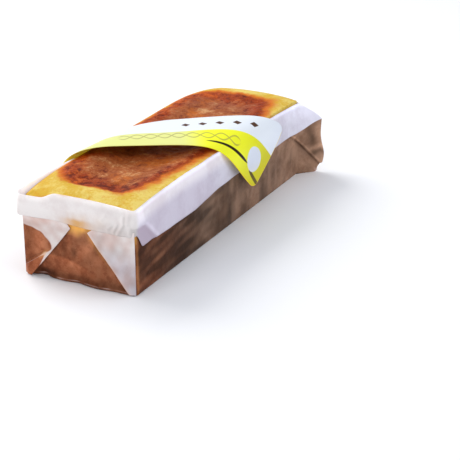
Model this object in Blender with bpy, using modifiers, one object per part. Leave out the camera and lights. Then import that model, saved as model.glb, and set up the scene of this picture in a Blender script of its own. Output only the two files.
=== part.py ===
# Castella loaf in its folded paper case, with a printed label strip laid slantwise over the top
# Metres, +Z up; the long side runs along X, and the base rests on Z = 0

import math
import bpy
import bmesh
import numpy as np

MM = 0.001

# Cake
CAKE_LENGTH = 258.4 * MM
CAKE_WIDTH = 84.4 * MM
CAKE_BASE = 1.3 * MM
CAKE_CORNER = 4.5 * MM          # plan radius of its upright corners
CAKE_CREST = 63.1 * MM          # height of the swollen rim along the sides
FAR_SWELL = 2.2 * MM            # the far end rose a little more
LEFT_DROP = 6.5 * MM            # the rim falls away towards the corners, less on the right
RIGHT_DROP = 3.0 * MM
FAR_LEFT_DROP = 6.5 * MM
FAR_RIGHT_DROP = 3.5 * MM
DROP_POWER_ALONG = 5
DROP_POWER_ACROSS = 2.5
SHOULDER_REACH = 9.0 * MM       # from the wall in to the crest
FRONT_SHOULDER = 4.1 * MM       # crest down to where the top meets the paper, on each side
FAR_SHOULDER = 1.5 * MM
LEFT_SHOULDER = 1.6 * MM
RIGHT_SHOULDER = 0.9 * MM
RIGHT_TURN = 15.0 * MM          # the left side's values go over to the right side's within this of the middle
FAR_TURN = 30.0 * MM
CORNER_TURN = 3.0 * MM
SINK = 3.6 * MM                 # how far the middle has sunk
SINK_START = 10.0 * MM          # where the sinking starts, in from the wall
SINK_REACH = 24.0 * MM
WRINKLE = 0.35 * MM             # shallow waves in the crust
WRINKLE_LONG = 5.0 * MM
WRINKLE_WIDE = 4.0 * MM
WRINKLE_BEND = 11.0 * MM
WRINKLE_WANDER = 3
TOP_CELLS = (60, 22)
EDGE_CROWDING = 0.45            # the cells get smaller towards the walls

# Paper case
PAPER = 0.5 * MM                # thickness of the doubled paper
CASE_LENGTH = 260.0 * MM        # over the outside of its walls
CASE_WIDTH = 86.0 * MM
CASE_CORNER = 3.0 * MM
BASE_ROUND = 0.6 * MM
WALL_HEIGHTS = (1.2 * MM, 8 * MM, 17 * MM, 28 * MM)
LIP = 0.7 * MM                  # height taken by the turned-over fold
RIM_HEIGHT = 59.6 * MM          # at the far end
RIGHT_RIM = 63.0 * MM           # the right rim is highest a little ahead of the middle and falls to both ends
RIGHT_RIM_FALL = 2.8 * MM
RIGHT_RIM_PEAK = -35.0 * MM
RIGHT_RIM_AHEAD = 93.0 * MM
RIGHT_RIM_BEHIND = 155.0 * MM
RIGHT_RIM_POWER = 3.5
FRONT_RIM_LOW = 57.5 * MM       # left of the overlap in the front wall
FRONT_RIM_HIGH = 61.8 * MM
FRONT_RIM_FALL = 2.2 * MM       # towards the right corner
NOTCH = 27.0 * MM               # the overlap's place, from the middle to the left
NOTCH_REACH = 12.0 * MM
LEFT_RIM_FRONT = 61.0 * MM      # the paper stands above the cake near the front left corner
LEFT_RIM_BACK = 56.4 * MM
LEFT_FALL_START = 72.0 * MM     # where the left rim starts to fall, ahead of the middle
LEFT_FALL_REACH = 35.0 * MM
FAR_RIM_RISE = 1.5 * MM
CUFF_GAP = 0.4 * MM             # between the wall and the turned-down cuff
CUFF_FLARE = 1.2 * MM           # more at the cuff's lower edge
FRONT_CUFF = 43.6 * MM          # heights of the cuff's lower edge
FRONT_CUFF_FALL = 2.0 * MM      # it is lower on the right of the ear's tip
FRONT_FALL_START = 24.0 * MM
FRONT_FALL_REACH = 34.0 * MM
RIGHT_CUFF_FRONT = 33.0 * MM
RIGHT_CUFF_BACK = 37.5 * MM
CUT_REACH = 10.0 * MM           # the cuff is cut aslant beside the front right corner
LEFT_CUFF = 37.0 * MM
LEFT_CUFF_START = 12.0 * MM     # behind the front corner, where it starts to come down from the front's height
LEFT_CUFF_REACH = 40.0 * MM
FAR_CUFF = 38.0 * MM
PROUD = 1.9 * MM                # the paper stands off the cake at the front left corner
PROUD_REACH = 20.0 * MM
FRONT_COLUMNS = 6
CORNER_COLUMNS = 3
SIDE_COLUMNS = 16
SIDE_CROWDING = 1.4             # above 1 the columns stand closer near the front end
FAR_COLUMNS = 8
PINCH_COLUMNS = 5

# Folded ears at the front end: each is a flap whose slanting edge runs from a tip down to the base
EAR_RELIEF = 0.8 * MM
EAR_STEP = 0.6 * MM
EAR_FADE = 6.0 * MM
LEFT_TIP = (5.0 * MM, 39.6 * MM)     # y and z of the tip
RIGHT_TIP = (-7.8 * MM, 38.9 * MM)
LEFT_SLOPE = 0.82                    # sideways run for each unit of drop
RIGHT_SLOPE = 0.80

# Pinched ears at the far corners: the spare paper stands out from each corner
PINCH_OUT = 11.6 * MM           # beyond the end wall
PINCH_SIDE = 14.8 * MM          # beyond the side wall
PINCH_TOP = 45.0 * MM           # height of its upper tip
PINCH_START = 22.0 * MM         # where it leaves the side wall, in from the end
PINCH_LEAN = 0.93               # lower down it starts nearer the corner
PINCH_BACK = 14.0 * MM          # where it returns to the end wall
PINCH_BLUNT = 2.0 * MM
PINCH_HIGH = 0.95               # its share of the full size at the upper tip
PINCH_LOW = 0.8                 # and near the base and at the base
PINCH_BASE = 0.6
PINCH_HOLD = 0.58               # what is left of it halfway up to the rim

# Label strip: its long edges follow two arches over the loaf, and it is ruled straight between them
LABEL = 0.4 * MM
LABEL_WIDTH = 56.9 * MM
LABEL_CORNER = 6.0 * MM         # radius of its corners
LABEL_LEFT = 92.0 * MM          # length from its middle to each end
LABEL_RIGHT = 88.2 * MM
LABEL_MIDDLE = -12.2 * MM       # x of the middle of the strip
LABEL_TURN = math.radians(34.0)
LABEL_BOW = 1.64                # per metre: the strip bends slightly in its plane
LABEL_BEND = 7.0                # per metre squared: more so at its right end
LABEL_FOOT = 15.0 * MM
LABEL_CELLS = (60, 8)
LABEL_CROWDING = 0.7
ARCH_STEPS = 4001
ARCH_FALL_POWER = 2.5
FRONT_ARCH = dict(                        # left and right are the feet, peak the highest place across
    left=50.0 * MM, right=50.0 * MM, peak=12.0 * MM, top=71.1 * MM,
    left_fall=9.4 * MM, right_fall=2.4 * MM, left_power=7.9, right_power=6.4)
FAR_ARCH = dict(
    left=47.0 * MM, right=55.0 * MM, peak=-5.0 * MM, top=70.8 * MM,
    left_fall=8.9 * MM, right_fall=3.7 * MM, left_power=12.0, right_power=5.4)

HALF_LENGTH = CASE_LENGTH / 2
HALF_WIDTH = CASE_WIDTH / 2
SHARP_ANGLE = math.radians(35)


def smooth(t):
    t = min(max(t, 0.0), 1.0)
    return t * t * (3 - 2 * t)


def bump(t):
    return math.exp(-t * t)


def blend(a, b, t):
    return a + (b - a) * t


def turn_over(place, reach):
    # 0 well before zero, 1 well past it
    return smooth(0.5 + place / (2 * reach))


def make_material(name, color, roughness):
    material = bpy.data.materials.new(name)
    material.use_nodes = True
    shader = material.node_tree.nodes["Principled BSDF"]
    shader.inputs["Base Color"].default_value = (*color, 1)
    shader.inputs["Roughness"].default_value = roughness
    shader.inputs["Metallic"].default_value = 0
    return material


def make_object(name, bm, collection, material):
    mesh = bpy.data.meshes.new(name)
    bm.to_mesh(mesh)
    bm.free()
    mesh.materials.append(material)
    obj = bpy.data.objects.new(name, mesh)
    collection.objects.link(obj)
    return obj


# Cake: a grid laid over the rounded plan, lifted to the top's form and extruded down to the base

def wall_distance(x, y):
    return min(CAKE_LENGTH / 2 - abs(x), CAKE_WIDTH / 2 - abs(y))


def cake_top(x, y):
    along = abs(x) / (CAKE_LENGTH / 2)
    across = abs(y) / (CAKE_WIDTH / 2)
    inward = wall_distance(x, y)
    crest = CAKE_CREST + FAR_SWELL * smooth(x / (CAKE_LENGTH / 2))
    to_right = turn_over(-y, RIGHT_TURN)
    to_far = turn_over(x, FAR_TURN)
    near_drop = blend(LEFT_DROP, RIGHT_DROP, to_right)
    far_drop = blend(FAR_LEFT_DROP, FAR_RIGHT_DROP, to_right)
    corner = blend(near_drop, far_drop, to_far) * along ** DROP_POWER_ALONG * across ** DROP_POWER_ACROSS
    at_end = turn_over(abs(x) - CAKE_LENGTH / 2 + CAKE_WIDTH / 2 - abs(y), CORNER_TURN)
    side = blend(LEFT_SHOULDER, RIGHT_SHOULDER, to_right)
    end = blend(FRONT_SHOULDER, FAR_SHOULDER, to_far)
    shoulder = blend(side, end, at_end) * max(1 - inward / SHOULDER_REACH, 0) ** 2
    sink = SINK * smooth((inward - SINK_START) / SINK_REACH)
    wander = WRINKLE_WANDER * math.sin(y / WRINKLE_BEND)
    wrinkle = WRINKLE * math.sin(x / WRINKLE_LONG + wander) * math.sin(y / WRINKLE_WIDE)
    return crest - corner - shoulder - sink + wrinkle * smooth(inward / SHOULDER_REACH)


def crowd(t, amount):
    # t from -1 to 1, with smaller steps near both ends
    return t + amount * math.sin(math.pi * t) / math.pi


def round_corner(x, y, half_length, half_width, radius):
    # a square corner of the grid is pressed onto a quarter disc
    u = (abs(x) - half_length + radius) / radius
    v = (abs(y) - half_width + radius) / radius
    if u <= 0 or v <= 0:
        return x, y
    px = half_length - radius + radius * u * math.sqrt(1 - v * v / 2)
    py = half_width - radius + radius * v * math.sqrt(1 - u * u / 2)
    return math.copysign(px, x), math.copysign(py, y)


def build_cake(collection):
    bm = bmesh.new()
    bmesh.ops.create_grid(bm, x_segments=TOP_CELLS[0], y_segments=TOP_CELLS[1], size=1)
    for vert in bm.verts:
        x = crowd(vert.co.x, EDGE_CROWDING) * CAKE_LENGTH / 2
        y = crowd(vert.co.y, EDGE_CROWDING) * CAKE_WIDTH / 2
        z = cake_top(x, y)
        px, py = round_corner(x, y, CAKE_LENGTH / 2, CAKE_WIDTH / 2, CAKE_CORNER)
        vert.co = (px, py, z)
    border = [edge for edge in bm.edges if edge.is_boundary]
    lower = bmesh.ops.extrude_edge_only(bm, edges=border)["geom"]
    for vert in lower:
        if isinstance(vert, bmesh.types.BMVert):
            vert.co.z = CAKE_BASE
    bmesh.ops.holes_fill(bm, edges=[edge for edge in bm.edges if edge.is_boundary], sides=0)
    bmesh.ops.recalc_face_normals(bm, faces=bm.faces)
    material = make_material("sponge", (0.62, 0.30, 0.10), 0.6)
    return make_object("cake", bm, collection, material)


# Paper case: an open sheet made of rings, up the walls, over the rim and down the cuff, then thickened

def constant(z):
    return lambda x, y: z


def on_front(x):
    return x < -HALF_LENGTH + CASE_CORNER


def rim_height(x, y):
    if on_front(x):
        overlap = smooth((NOTCH - y) / NOTCH_REACH)
        fall = max(-y / HALF_WIDTH, 0)
        return blend(FRONT_RIM_LOW, FRONT_RIM_HIGH, overlap) - FRONT_RIM_FALL * fall ** 2
    if x > HALF_LENGTH - CASE_CORNER:
        middle = 1 - min(abs(y) / HALF_WIDTH, 1) ** 2
        side = smooth((y + HALF_WIDTH) / CASE_WIDTH)
        return blend(RIM_HEIGHT, LEFT_RIM_BACK, side) + FAR_RIM_RISE * middle
    if y < 0:
        reach = RIGHT_RIM_AHEAD if x < RIGHT_RIM_PEAK else RIGHT_RIM_BEHIND
        return RIGHT_RIM - RIGHT_RIM_FALL * abs((x - RIGHT_RIM_PEAK) / reach) ** RIGHT_RIM_POWER
    return blend(LEFT_RIM_FRONT, LEFT_RIM_BACK, smooth((x + LEFT_FALL_START) / LEFT_FALL_REACH))


def cuff_height(x, y):
    if on_front(x):
        z = FRONT_CUFF - FRONT_CUFF_FALL * smooth((FRONT_FALL_START - y) / FRONT_FALL_REACH)
    elif x > HALF_LENGTH - CASE_CORNER:
        z = FAR_CUFF
    elif y > 0:
        z = blend(FRONT_CUFF, LEFT_CUFF, smooth((x + HALF_LENGTH - LEFT_CUFF_START) / LEFT_CUFF_REACH))
    else:
        along = smooth((x + HALF_LENGTH / 2) / (HALF_LENGTH / 2))
        cut = 1 - smooth((x + HALF_LENGTH) / CUT_REACH)
        z = blend(RIGHT_CUFF_FRONT, RIGHT_CUFF_BACK, along) + (FRONT_CUFF - RIGHT_CUFF_FRONT) * cut
    beyond = (abs(y) - HALF_WIDTH) / PINCH_SIDE
    return blend(z, PINCH_TOP, smooth(beyond))


def front_row(level):
    # across the front end from right to left: ear, bare middle, ear
    end = -HALF_LENGTH - level["out"]
    half = HALF_WIDTH - CASE_CORNER
    drop_left = max(LEFT_TIP[1] - level["z"], 0)
    drop_right = max(RIGHT_TIP[1] - level["z"], 0)
    left = LEFT_TIP[0] + drop_left * LEFT_SLOPE
    right = RIGHT_TIP[0] - drop_right * RIGHT_SLOPE
    right_ear = np.linspace(-half, right - EAR_STEP, FRONT_COLUMNS)
    middle = np.linspace(right, left, FRONT_COLUMNS)
    left_ear = np.linspace(left + EAR_STEP, half, FRONT_COLUMNS)
    raised = EAR_RELIEF * level["ears"]
    row = [(end - raised * smooth((y + half) / EAR_FADE), y) for y in right_ear]
    row += [(end, y) for y in middle]
    row += [(end - raised * smooth((half - y) / EAR_FADE), y) for y in left_ear]
    return row


def front_corner(level):
    # the left one, from the front end round to the side
    reach = CASE_CORNER + level["out"]
    row = []
    for i in range(1, CORNER_COLUMNS):
        turn = math.pi / 2 * i / CORNER_COLUMNS
        x = -HALF_LENGTH + CASE_CORNER - reach * math.cos(turn)
        y = HALF_WIDTH - CASE_CORNER + reach * math.sin(turn)
        row.append((x, y))
    return row


def crease_start(z):
    # how far from the end the pinched ear leaves the side wall
    return max(PINCH_START + PINCH_LEAN * min(z - PINCH_TOP, 0), CASE_CORNER)


def side_row(level):
    # the left side from front to far end, without the points of the far corner
    last = HALF_LENGTH - crease_start(level["z"])
    row = []
    for i in range(SIDE_COLUMNS):
        x = blend(-HALF_LENGTH + CASE_CORNER, last, (i / SIDE_COLUMNS) ** SIDE_CROWDING)
        row.append((x, HALF_WIDTH + level["out"]))
    return row


def far_corner(level):
    # the left one, from the side round to the end: plain below a level's pinch of 0, an ear at 1
    end = HALF_LENGTH + level["out"]
    side = HALF_WIDTH + level["out"]
    start = (HALF_LENGTH - crease_start(level["z"]), side)
    back = (end, HALF_WIDTH - PINCH_BACK)
    round_off = (CASE_CORNER + level["out"]) * (1 - math.sqrt(0.5))
    plain = [start, (end - CASE_CORNER, side), (end - round_off, side - round_off)]
    plain += [(end, side - CASE_CORNER), back]
    plain = walk(plain, np.linspace(0, 1, 2 * PINCH_COLUMNS + 1))
    tip = (end + PINCH_OUT - PINCH_BLUNT, side + PINCH_SIDE)
    tip_back = (end + PINCH_OUT, side + PINCH_SIDE - PINCH_BLUNT)
    ear = walk([start, tip], np.linspace(0, 1, PINCH_COLUMNS + 1))
    ear += walk([tip_back, back], np.linspace(0, 1, PINCH_COLUMNS))
    pinch = level["pinch"]
    return [(blend(a[0], b[0], pinch), blend(a[1], b[1], pinch)) for a, b in zip(plain, ear)]


def walk(path, fractions):
    # points at fractions of the length of an open path
    path = np.array(path)
    steps = np.hypot(*np.diff(path, axis=0).T)
    reached = np.concatenate([[0], np.cumsum(steps)]) / steps.sum()
    return list(zip(np.interp(fractions, reached, path[:, 0]), np.interp(fractions, reached, path[:, 1])))


def far_row(level):
    half = HALF_WIDTH - PINCH_BACK
    end = HALF_LENGTH + level["out"]
    return [(end, y) for y in np.linspace(half, -half, FAR_COLUMNS + 1)[1:-1]]


def mirrored(row):
    return [(x, -y) for x, y in reversed(row)]


def ring(level):
    left = front_corner(level) + side_row(level) + far_corner(level)
    plan = front_row(level) + left + far_row(level) + mirrored(left)
    points = []
    for x, y in plan:
        proud = level["proud"] * bump(math.hypot(x + HALF_LENGTH, y - HALF_WIDTH) / PROUD_REACH)
        points.append((x - proud, y + proud, level["height"](x, y)))
    return points


def make_level(z, out=0.0, height=None, ears=0, pinch=1.0, proud=0.0):
    return dict(z=z, out=out, height=height or constant(z), ears=ears, pinch=pinch, proud=proud)


def case_rings():
    def under_lip(x, y):
        return rim_height(x, y) - LIP
    bottom = make_level(0, -BASE_ROUND, pinch=PINCH_BASE)
    walls = [make_level(WALL_HEIGHTS[0], ears=1, pinch=PINCH_LOW)]
    walls += [make_level(z, ears=1) for z in WALL_HEIGHTS[1:]]
    behind = make_level(PINCH_TOP - LIP, height=cuff_height, ears=1, pinch=PINCH_HIGH)
    top = make_level(RIM_HEIGHT, height=under_lip, pinch=0, proud=PROUD)
    rim = make_level(RIM_HEIGHT, CUFF_GAP / 2, height=rim_height, pinch=0, proud=PROUD)
    turned = make_level(RIM_HEIGHT, CUFF_GAP, height=under_lip, pinch=0, proud=PROUD)
    hem_out = CUFF_GAP + CUFF_FLARE
    hem = make_level(PINCH_TOP, hem_out, height=cuff_height, pinch=PINCH_HIGH, proud=PROUD)
    rings = [ring(item) for item in [bottom, *walls, behind]]
    rings.append(halfway(ring(behind), ring(top)))
    rings += [ring(top), ring(rim), ring(turned)]
    rings.append(halfway(ring(hem), ring(turned)))
    rings.append(ring(hem))
    return rings


def halfway(pinched, plain):
    # half the height up, while the pinched corner still stands out
    points = []
    for (px, py, pz), (qx, qy, qz) in zip(pinched, plain):
        points.append((blend(qx, px, PINCH_HOLD), blend(qy, py, PINCH_HOLD), (pz + qz) / 2))
    return points


def build_case(collection):
    bm = bmesh.new()
    rows = [[bm.verts.new(point) for point in points] for points in case_rings()]
    for lower, upper in zip(rows, rows[1:]):
        for i in range(len(lower)):
            j = (i + 1) % len(lower)
            bm.faces.new((lower[j], lower[i], upper[i], upper[j]))
    bm.faces.new(rows[0])
    material = make_material("parchment", (0.86, 0.82, 0.80), 0.5)
    obj = make_object("paper_case", bm, collection, material)
    paper = obj.modifiers.new("paper", "SOLIDIFY")
    paper.thickness = PAPER
    paper.offset = -1
    return obj


# Label strip: a grid with rounded corners, laid slantwise over the arches, then thickened

def arch_section(arch):
    # y, z and length along the arch, from the left foot to the right one; the length is 0 over the loaf's middle
    turn = np.linspace(0, math.pi, ARCH_STEPS)
    on_left = turn < math.pi / 2
    power = np.where(on_left, arch["left_power"], arch["right_power"])
    half = np.where(on_left, arch["left"] - arch["peak"], arch["right"] + arch["peak"])
    fall = np.where(on_left, arch["left_fall"], arch["right_fall"])
    y = half * np.sign(np.cos(turn)) * np.abs(np.cos(turn)) ** (2 / power)
    top = arch["top"] - fall * (np.abs(y) / half) ** ARCH_FALL_POWER
    z = LABEL_FOOT + (top - LABEL_FOOT) * np.abs(np.sin(turn)) ** (2 / power)
    length = np.concatenate([[0], np.cumsum(np.hypot(np.diff(y), np.diff(z)))])
    return y + arch["peak"], z, length - np.interp(math.pi / 2, turn, length) - arch["peak"]


def label_point(along, across, sections):
    # along runs the strip's length from its middle, across its width, with plus towards the far end
    turned = along * math.cos(LABEL_TURN) - across * math.sin(LABEL_TURN)
    x = LABEL_MIDDLE + along * math.sin(LABEL_TURN) + across * math.cos(LABEL_TURN)
    x += LABEL_BOW * along ** 2 + LABEL_BEND * along ** 3
    ends = [(np.interp(turned, length, y), np.interp(turned, length, z)) for y, z, length in sections]
    (y_front, z_front), (y_far, z_far) = ends
    share = across / LABEL_WIDTH + 0.5
    return x, blend(y_front, y_far, share), blend(z_front, z_far, share)


def label_half_width(along):
    to_end = min(along + LABEL_LEFT, LABEL_RIGHT - along)
    cut = min(max(LABEL_CORNER - to_end, 0), LABEL_CORNER)
    return LABEL_WIDTH / 2 - LABEL_CORNER + math.sqrt(LABEL_CORNER ** 2 - cut ** 2)


def build_label(collection):
    bm = bmesh.new()
    sections = [arch_section(FRONT_ARCH), arch_section(FAR_ARCH)]
    bmesh.ops.create_grid(bm, x_segments=LABEL_CELLS[0], y_segments=LABEL_CELLS[1], size=1)
    for vert in bm.verts:
        along = blend(-LABEL_LEFT, LABEL_RIGHT, (crowd(vert.co.x, LABEL_CROWDING) + 1) / 2)
        across = vert.co.y * label_half_width(along)
        vert.co = label_point(along, across, sections)
    bmesh.ops.recalc_face_normals(bm, faces=bm.faces)
    material = make_material("label_print", (0.90, 0.90, 0.05), 0.2)
    obj = make_object("label", bm, collection, material)
    card = obj.modifiers.new("card", "SOLIDIFY")
    card.thickness = LABEL
    card.offset = 1
    return obj


def centre_footprint(pieces):
    # the middle of the footprint goes to the origin
    graph = bpy.context.evaluated_depsgraph_get()
    corners = [corner for piece in pieces for corner in piece.evaluated_get(graph).bound_box]
    for axis in (0, 1):
        reach = [corner[axis] for corner in corners]
        for piece in pieces:
            piece.location[axis] = -(min(reach) + max(reach)) / 2


def main():
    for obj in list(bpy.data.objects):
        bpy.data.objects.remove(obj, do_unlink=True)
    collection = bpy.data.collections.new("castella_cake")
    bpy.context.scene.collection.children.link(collection)
    pieces = [build_cake(collection), build_case(collection), build_label(collection)]
    for piece in pieces:
        piece.data.shade_smooth()
        piece.data.set_sharp_from_angle(angle=SHARP_ANGLE)
    centre_footprint(pieces)


main()
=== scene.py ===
import math
import bpy
import bmesh
import numpy as np
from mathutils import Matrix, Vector
from types import SimpleNamespace


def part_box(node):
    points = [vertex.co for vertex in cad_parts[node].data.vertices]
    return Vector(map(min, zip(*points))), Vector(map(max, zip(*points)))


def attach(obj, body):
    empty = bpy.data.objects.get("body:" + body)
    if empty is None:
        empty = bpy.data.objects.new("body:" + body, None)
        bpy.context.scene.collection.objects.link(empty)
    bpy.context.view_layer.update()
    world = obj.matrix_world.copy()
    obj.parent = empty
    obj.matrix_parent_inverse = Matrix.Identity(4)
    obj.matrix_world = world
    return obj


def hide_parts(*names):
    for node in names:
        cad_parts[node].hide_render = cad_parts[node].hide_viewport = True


# Castella loaf in its parchment case, with a glossy label strip laid slantwise over the top.
# The loaf's own millimetres run from the middle of the case; toFrame puts them in the frame in metres.

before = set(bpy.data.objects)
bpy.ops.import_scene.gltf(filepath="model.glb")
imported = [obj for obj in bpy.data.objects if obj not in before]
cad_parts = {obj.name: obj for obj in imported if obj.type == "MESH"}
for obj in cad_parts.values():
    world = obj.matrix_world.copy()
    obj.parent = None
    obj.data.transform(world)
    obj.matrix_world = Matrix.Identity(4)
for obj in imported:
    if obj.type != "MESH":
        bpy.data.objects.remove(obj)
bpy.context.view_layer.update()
cakeLow, cakeHigh = (np.array(corner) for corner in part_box("cake"))
middle = np.array([(cakeLow[0] + cakeHigh[0]) / 2, (cakeLow[1] + cakeHigh[1]) / 2, 0.0])
scene = bpy.context.scene


def toFrame(points):
    # millimetres over a thousand, plus the middle of the cake's own node
    return np.asarray(points) * 0.001 + middle


# numbers and shapes shared by the pieces

def smooth(t):
    # a smooth step from 0 to 1: t squared times (3 less twice t)
    t = np.clip(t, 0, 1)
    return t * t * (3 - 2 * t)


def bump(t):
    # a bell, 1 in the middle: e to the power of less t squared
    return np.exp(-np.square(t))


def rise(value, start, reach):
    # 0 up to start, then a smooth slope to 1 over reach
    return smooth((value - start) / reach)


def fall(value, start, reach):
    # 0 down to start, then a smooth slope to 1 over reach further down
    return smooth((start - value) / reach)


def hill(value, centre, reach):
    # a bell round centre, down to about a third at reach
    return bump((value - centre) / reach)


def blend(a, b, t):
    # straight from a to b as t goes from 0 to 1
    return a + (b - a) * t


def marks(fields, rows):
    # the sum of the rows: a strength times its factors, which are values of fields by name,
    # or a slope or hill of one as (shape, name, place, reach)
    total = 0.0
    for strength, *factors in rows:
        share = strength
        for factor in factors:
            if isinstance(factor, str):
                share = share * getattr(fields, factor)
            else:
                shape, name, place, reach = factor
                share = share * shape(getattr(fields, name), place, reach)
        total = total + share
    return total


def ripple(points, size, seed, waves=14):
    # the sum of sine waves in random directions, about as long as size, over the root of their count
    draw = np.random.default_rng(seed)
    ways = draw.normal(size=(waves, 3))
    ways /= np.linalg.norm(ways, axis=1)[:, None]
    pace = 2 * math.pi / size * draw.uniform(0.55, 1.5, waves)
    start = draw.uniform(0, 2 * math.pi, waves)
    phase = np.asarray(points) @ (ways * pace[:, None]).T + start
    return np.sin(phase).sum(-1) / math.sqrt(waves) * 0.9


def ripples(points, rows):
    # rows are height, size and seed
    return sum(height * ripple(points, size, seed) for height, size, seed in rows)


def softMin(values, width):
    # the least of several distances, rounded where two are nearly equal
    values = np.stack(np.broadcast_arrays(*values))
    least = values.min(0)
    return least - width * np.log(np.exp(-(values - least) / width).sum(0))


def gridFaces(rows, columns, closed):
    # a quad between each row and column of points and the next; a closed grid's last column meets its first
    index = np.arange(rows * columns).reshape(rows, columns)
    if closed:
        index = np.concatenate([index, index[:, :1]], axis=1)
    quads = np.stack([index[:-1, :-1], index[:-1, 1:], index[1:, 1:], index[1:, :-1]], -1)
    return quads.reshape(-1, 4)


def makePiece(name, grid, closed, masks, material, flip=False, capFirst=False, weld=False, uv=None):
    # quads over a grid of rows by columns of points in the loaf's millimetres, put into the frame in metres;
    # masks are values per point
    rows, columns = grid.shape[:2]
    faces = gridFaces(rows, columns, closed)
    if flip:
        faces = faces[:, ::-1]
    faces = faces.tolist()
    if capFirst:
        ring = list(range(columns))
        faces.append(ring if flip else ring[::-1])
    mesh = bpy.data.meshes.new(name)
    mesh.from_pydata(toFrame(grid.reshape(-1, 3)).tolist(), [], faces)
    for key, values in masks.items():
        layer = mesh.attributes.new(key, "FLOAT", "POINT")
        layer.data.foreach_set("value", np.asarray(values, dtype=np.float32).ravel())
    if uv is not None:
        layer = mesh.uv_layers.new(name="strip")
        corners = np.empty(len(mesh.loops), dtype=np.int32)
        mesh.loops.foreach_get("vertex_index", corners)
        layer.data.foreach_set("uv", uv.reshape(-1, 2)[corners].astype(np.float32).ravel())
    if weld:
        bm = bmesh.new()
        bm.from_mesh(mesh)
        bmesh.ops.remove_doubles(bm, verts=bm.verts, dist=0.00002)
        bm.to_mesh(mesh)
        bm.free()
    mesh.polygons.foreach_set("use_smooth", [True] * len(mesh.polygons))
    mesh.materials.append(material)
    obj = bpy.data.objects.new(name, mesh)
    scene.collection.objects.link(obj)
    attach(obj, "root")
    return obj


def thicken(obj, thickness, offset):
    # a wall of even thickness, inwards (-1) or outwards (1)
    sheet = obj.modifiers.new("sheet", "SOLIDIFY")
    sheet.thickness = thickness
    sheet.offset = offset


# shader helpers: each makes a node, links or sets its inputs and gives back its output

def newMaterial(name):
    material = bpy.data.materials.new(name)
    material.use_nodes = True
    tree = material.node_tree
    return material, tree, tree.nodes["Principled BSDF"]


def put(tree, socket, value):
    # a link where the value is a socket, else the socket's own value
    if isinstance(value, bpy.types.NodeSocket):
        tree.links.new(value, socket)
    else:
        socket.default_value = value


def setInputs(tree, node, values):
    for name, value in values.items():
        put(tree, node.inputs[name], value)
    return node.outputs[0]


def math2(tree, operation, a, b=0.0):
    node = tree.nodes.new("ShaderNodeMath")
    node.operation = operation
    return setInputs(tree, node, {0: a, 1: b})


def plus(tree, a, b):
    return math2(tree, "ADD", a, b)


def minus(tree, a, b):
    return math2(tree, "SUBTRACT", a, b)


def times(tree, a, b):
    return math2(tree, "MULTIPLY", a, b)


def mapRange(tree, value, low, high, toLow=0.0, toHigh=1.0):
    # a smooth step from low to high
    node = tree.nodes.new("ShaderNodeMapRange")
    node.interpolation_type = "SMOOTHSTEP"
    return setInputs(tree, node, dict(enumerate((value, low, high, toLow, toHigh))))


def mixColor(tree, factor, a, b, mode="MIX"):
    # from a to b as the factor goes from 0 to 1
    node = tree.nodes.new("ShaderNodeMix")
    node.data_type = "RGBA"
    node.blend_type = mode
    setInputs(tree, node, {0: factor, 6: a, 7: b})
    return node.outputs[2]


def over(tree, base, top, value, low, high, most=1.0):
    # top laid over base, from none at low to most at high
    return mixColor(tree, mapRange(tree, value, low, high, 0.0, most), base, top)


def attribute(tree, name):
    # one of a piece's masks
    node = tree.nodes.new("ShaderNodeAttribute")
    node.attribute_name = name
    return node.outputs["Fac"]


def coordinates(tree, name):
    return tree.nodes.new("ShaderNodeTexCoord").outputs[name]


def parts(tree, vector):
    # the x, y and z of a vector
    node = tree.nodes.new("ShaderNodeSeparateXYZ")
    put(tree, node.inputs[0], vector)
    return node.outputs


def srgb(red, green, blue):
    # a solid colour named by its screen values, 0 to 255
    values = np.array([red, green, blue]) / 255
    linear = np.where(values <= 0.04045, values / 12.92, ((values + 0.055) / 1.055) ** 2.4)
    return (*linear.tolist(), 1.0)


black = (0, 0, 0, 1)


def makeMottle():
    # group: uneven cloudy value made of a coarse and a fine noise
    group = bpy.data.node_groups.new("mottle", "ShaderNodeTree")
    sockets = [("Vector", "INPUT", "Vector"), ("Scale", "INPUT", "Float"), ("Fine share", "INPUT", "Float"),
               ("Value", "OUTPUT", "Float")]
    for name, way, kind in sockets:
        group.interface.new_socket(name, in_out=way, socket_type="NodeSocket" + kind)
    given = group.nodes.new("NodeGroupInput").outputs
    coarse = group.nodes.new("ShaderNodeTexNoise")
    fine = group.nodes.new("ShaderNodeTexNoise")
    setInputs(group, coarse, {"Vector": given["Vector"], "Scale": given["Scale"], "Detail": 4})
    fineScale = times(group, given["Scale"], 5.3)
    setInputs(group, fine, {"Vector": given["Vector"], "Scale": fineScale, "Detail": 3, "Roughness": 0.65})
    both = group.nodes.new("ShaderNodeMix")
    value = setInputs(group, both, {0: given["Fine share"], 2: coarse.outputs["Fac"], 3: fine.outputs["Fac"]})
    group.links.new(value, group.nodes.new("NodeGroupOutput").inputs["Value"])
    return group


mottleGroup = makeMottle()


def mottle(tree, vector, scale, fineShare):
    # that group placed in a material
    node = tree.nodes.new("ShaderNodeGroup")
    node.node_tree = mottleGroup
    return setInputs(tree, node, {"Vector": vector, "Scale": scale, "Fine share": fineShare})


def bumpNormal(tree, height, strength, distance):
    node = tree.nodes.new("ShaderNodeBump")
    return setInputs(tree, node, {"Strength": strength, "Distance": distance, "Height": height})


# the cake

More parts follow.
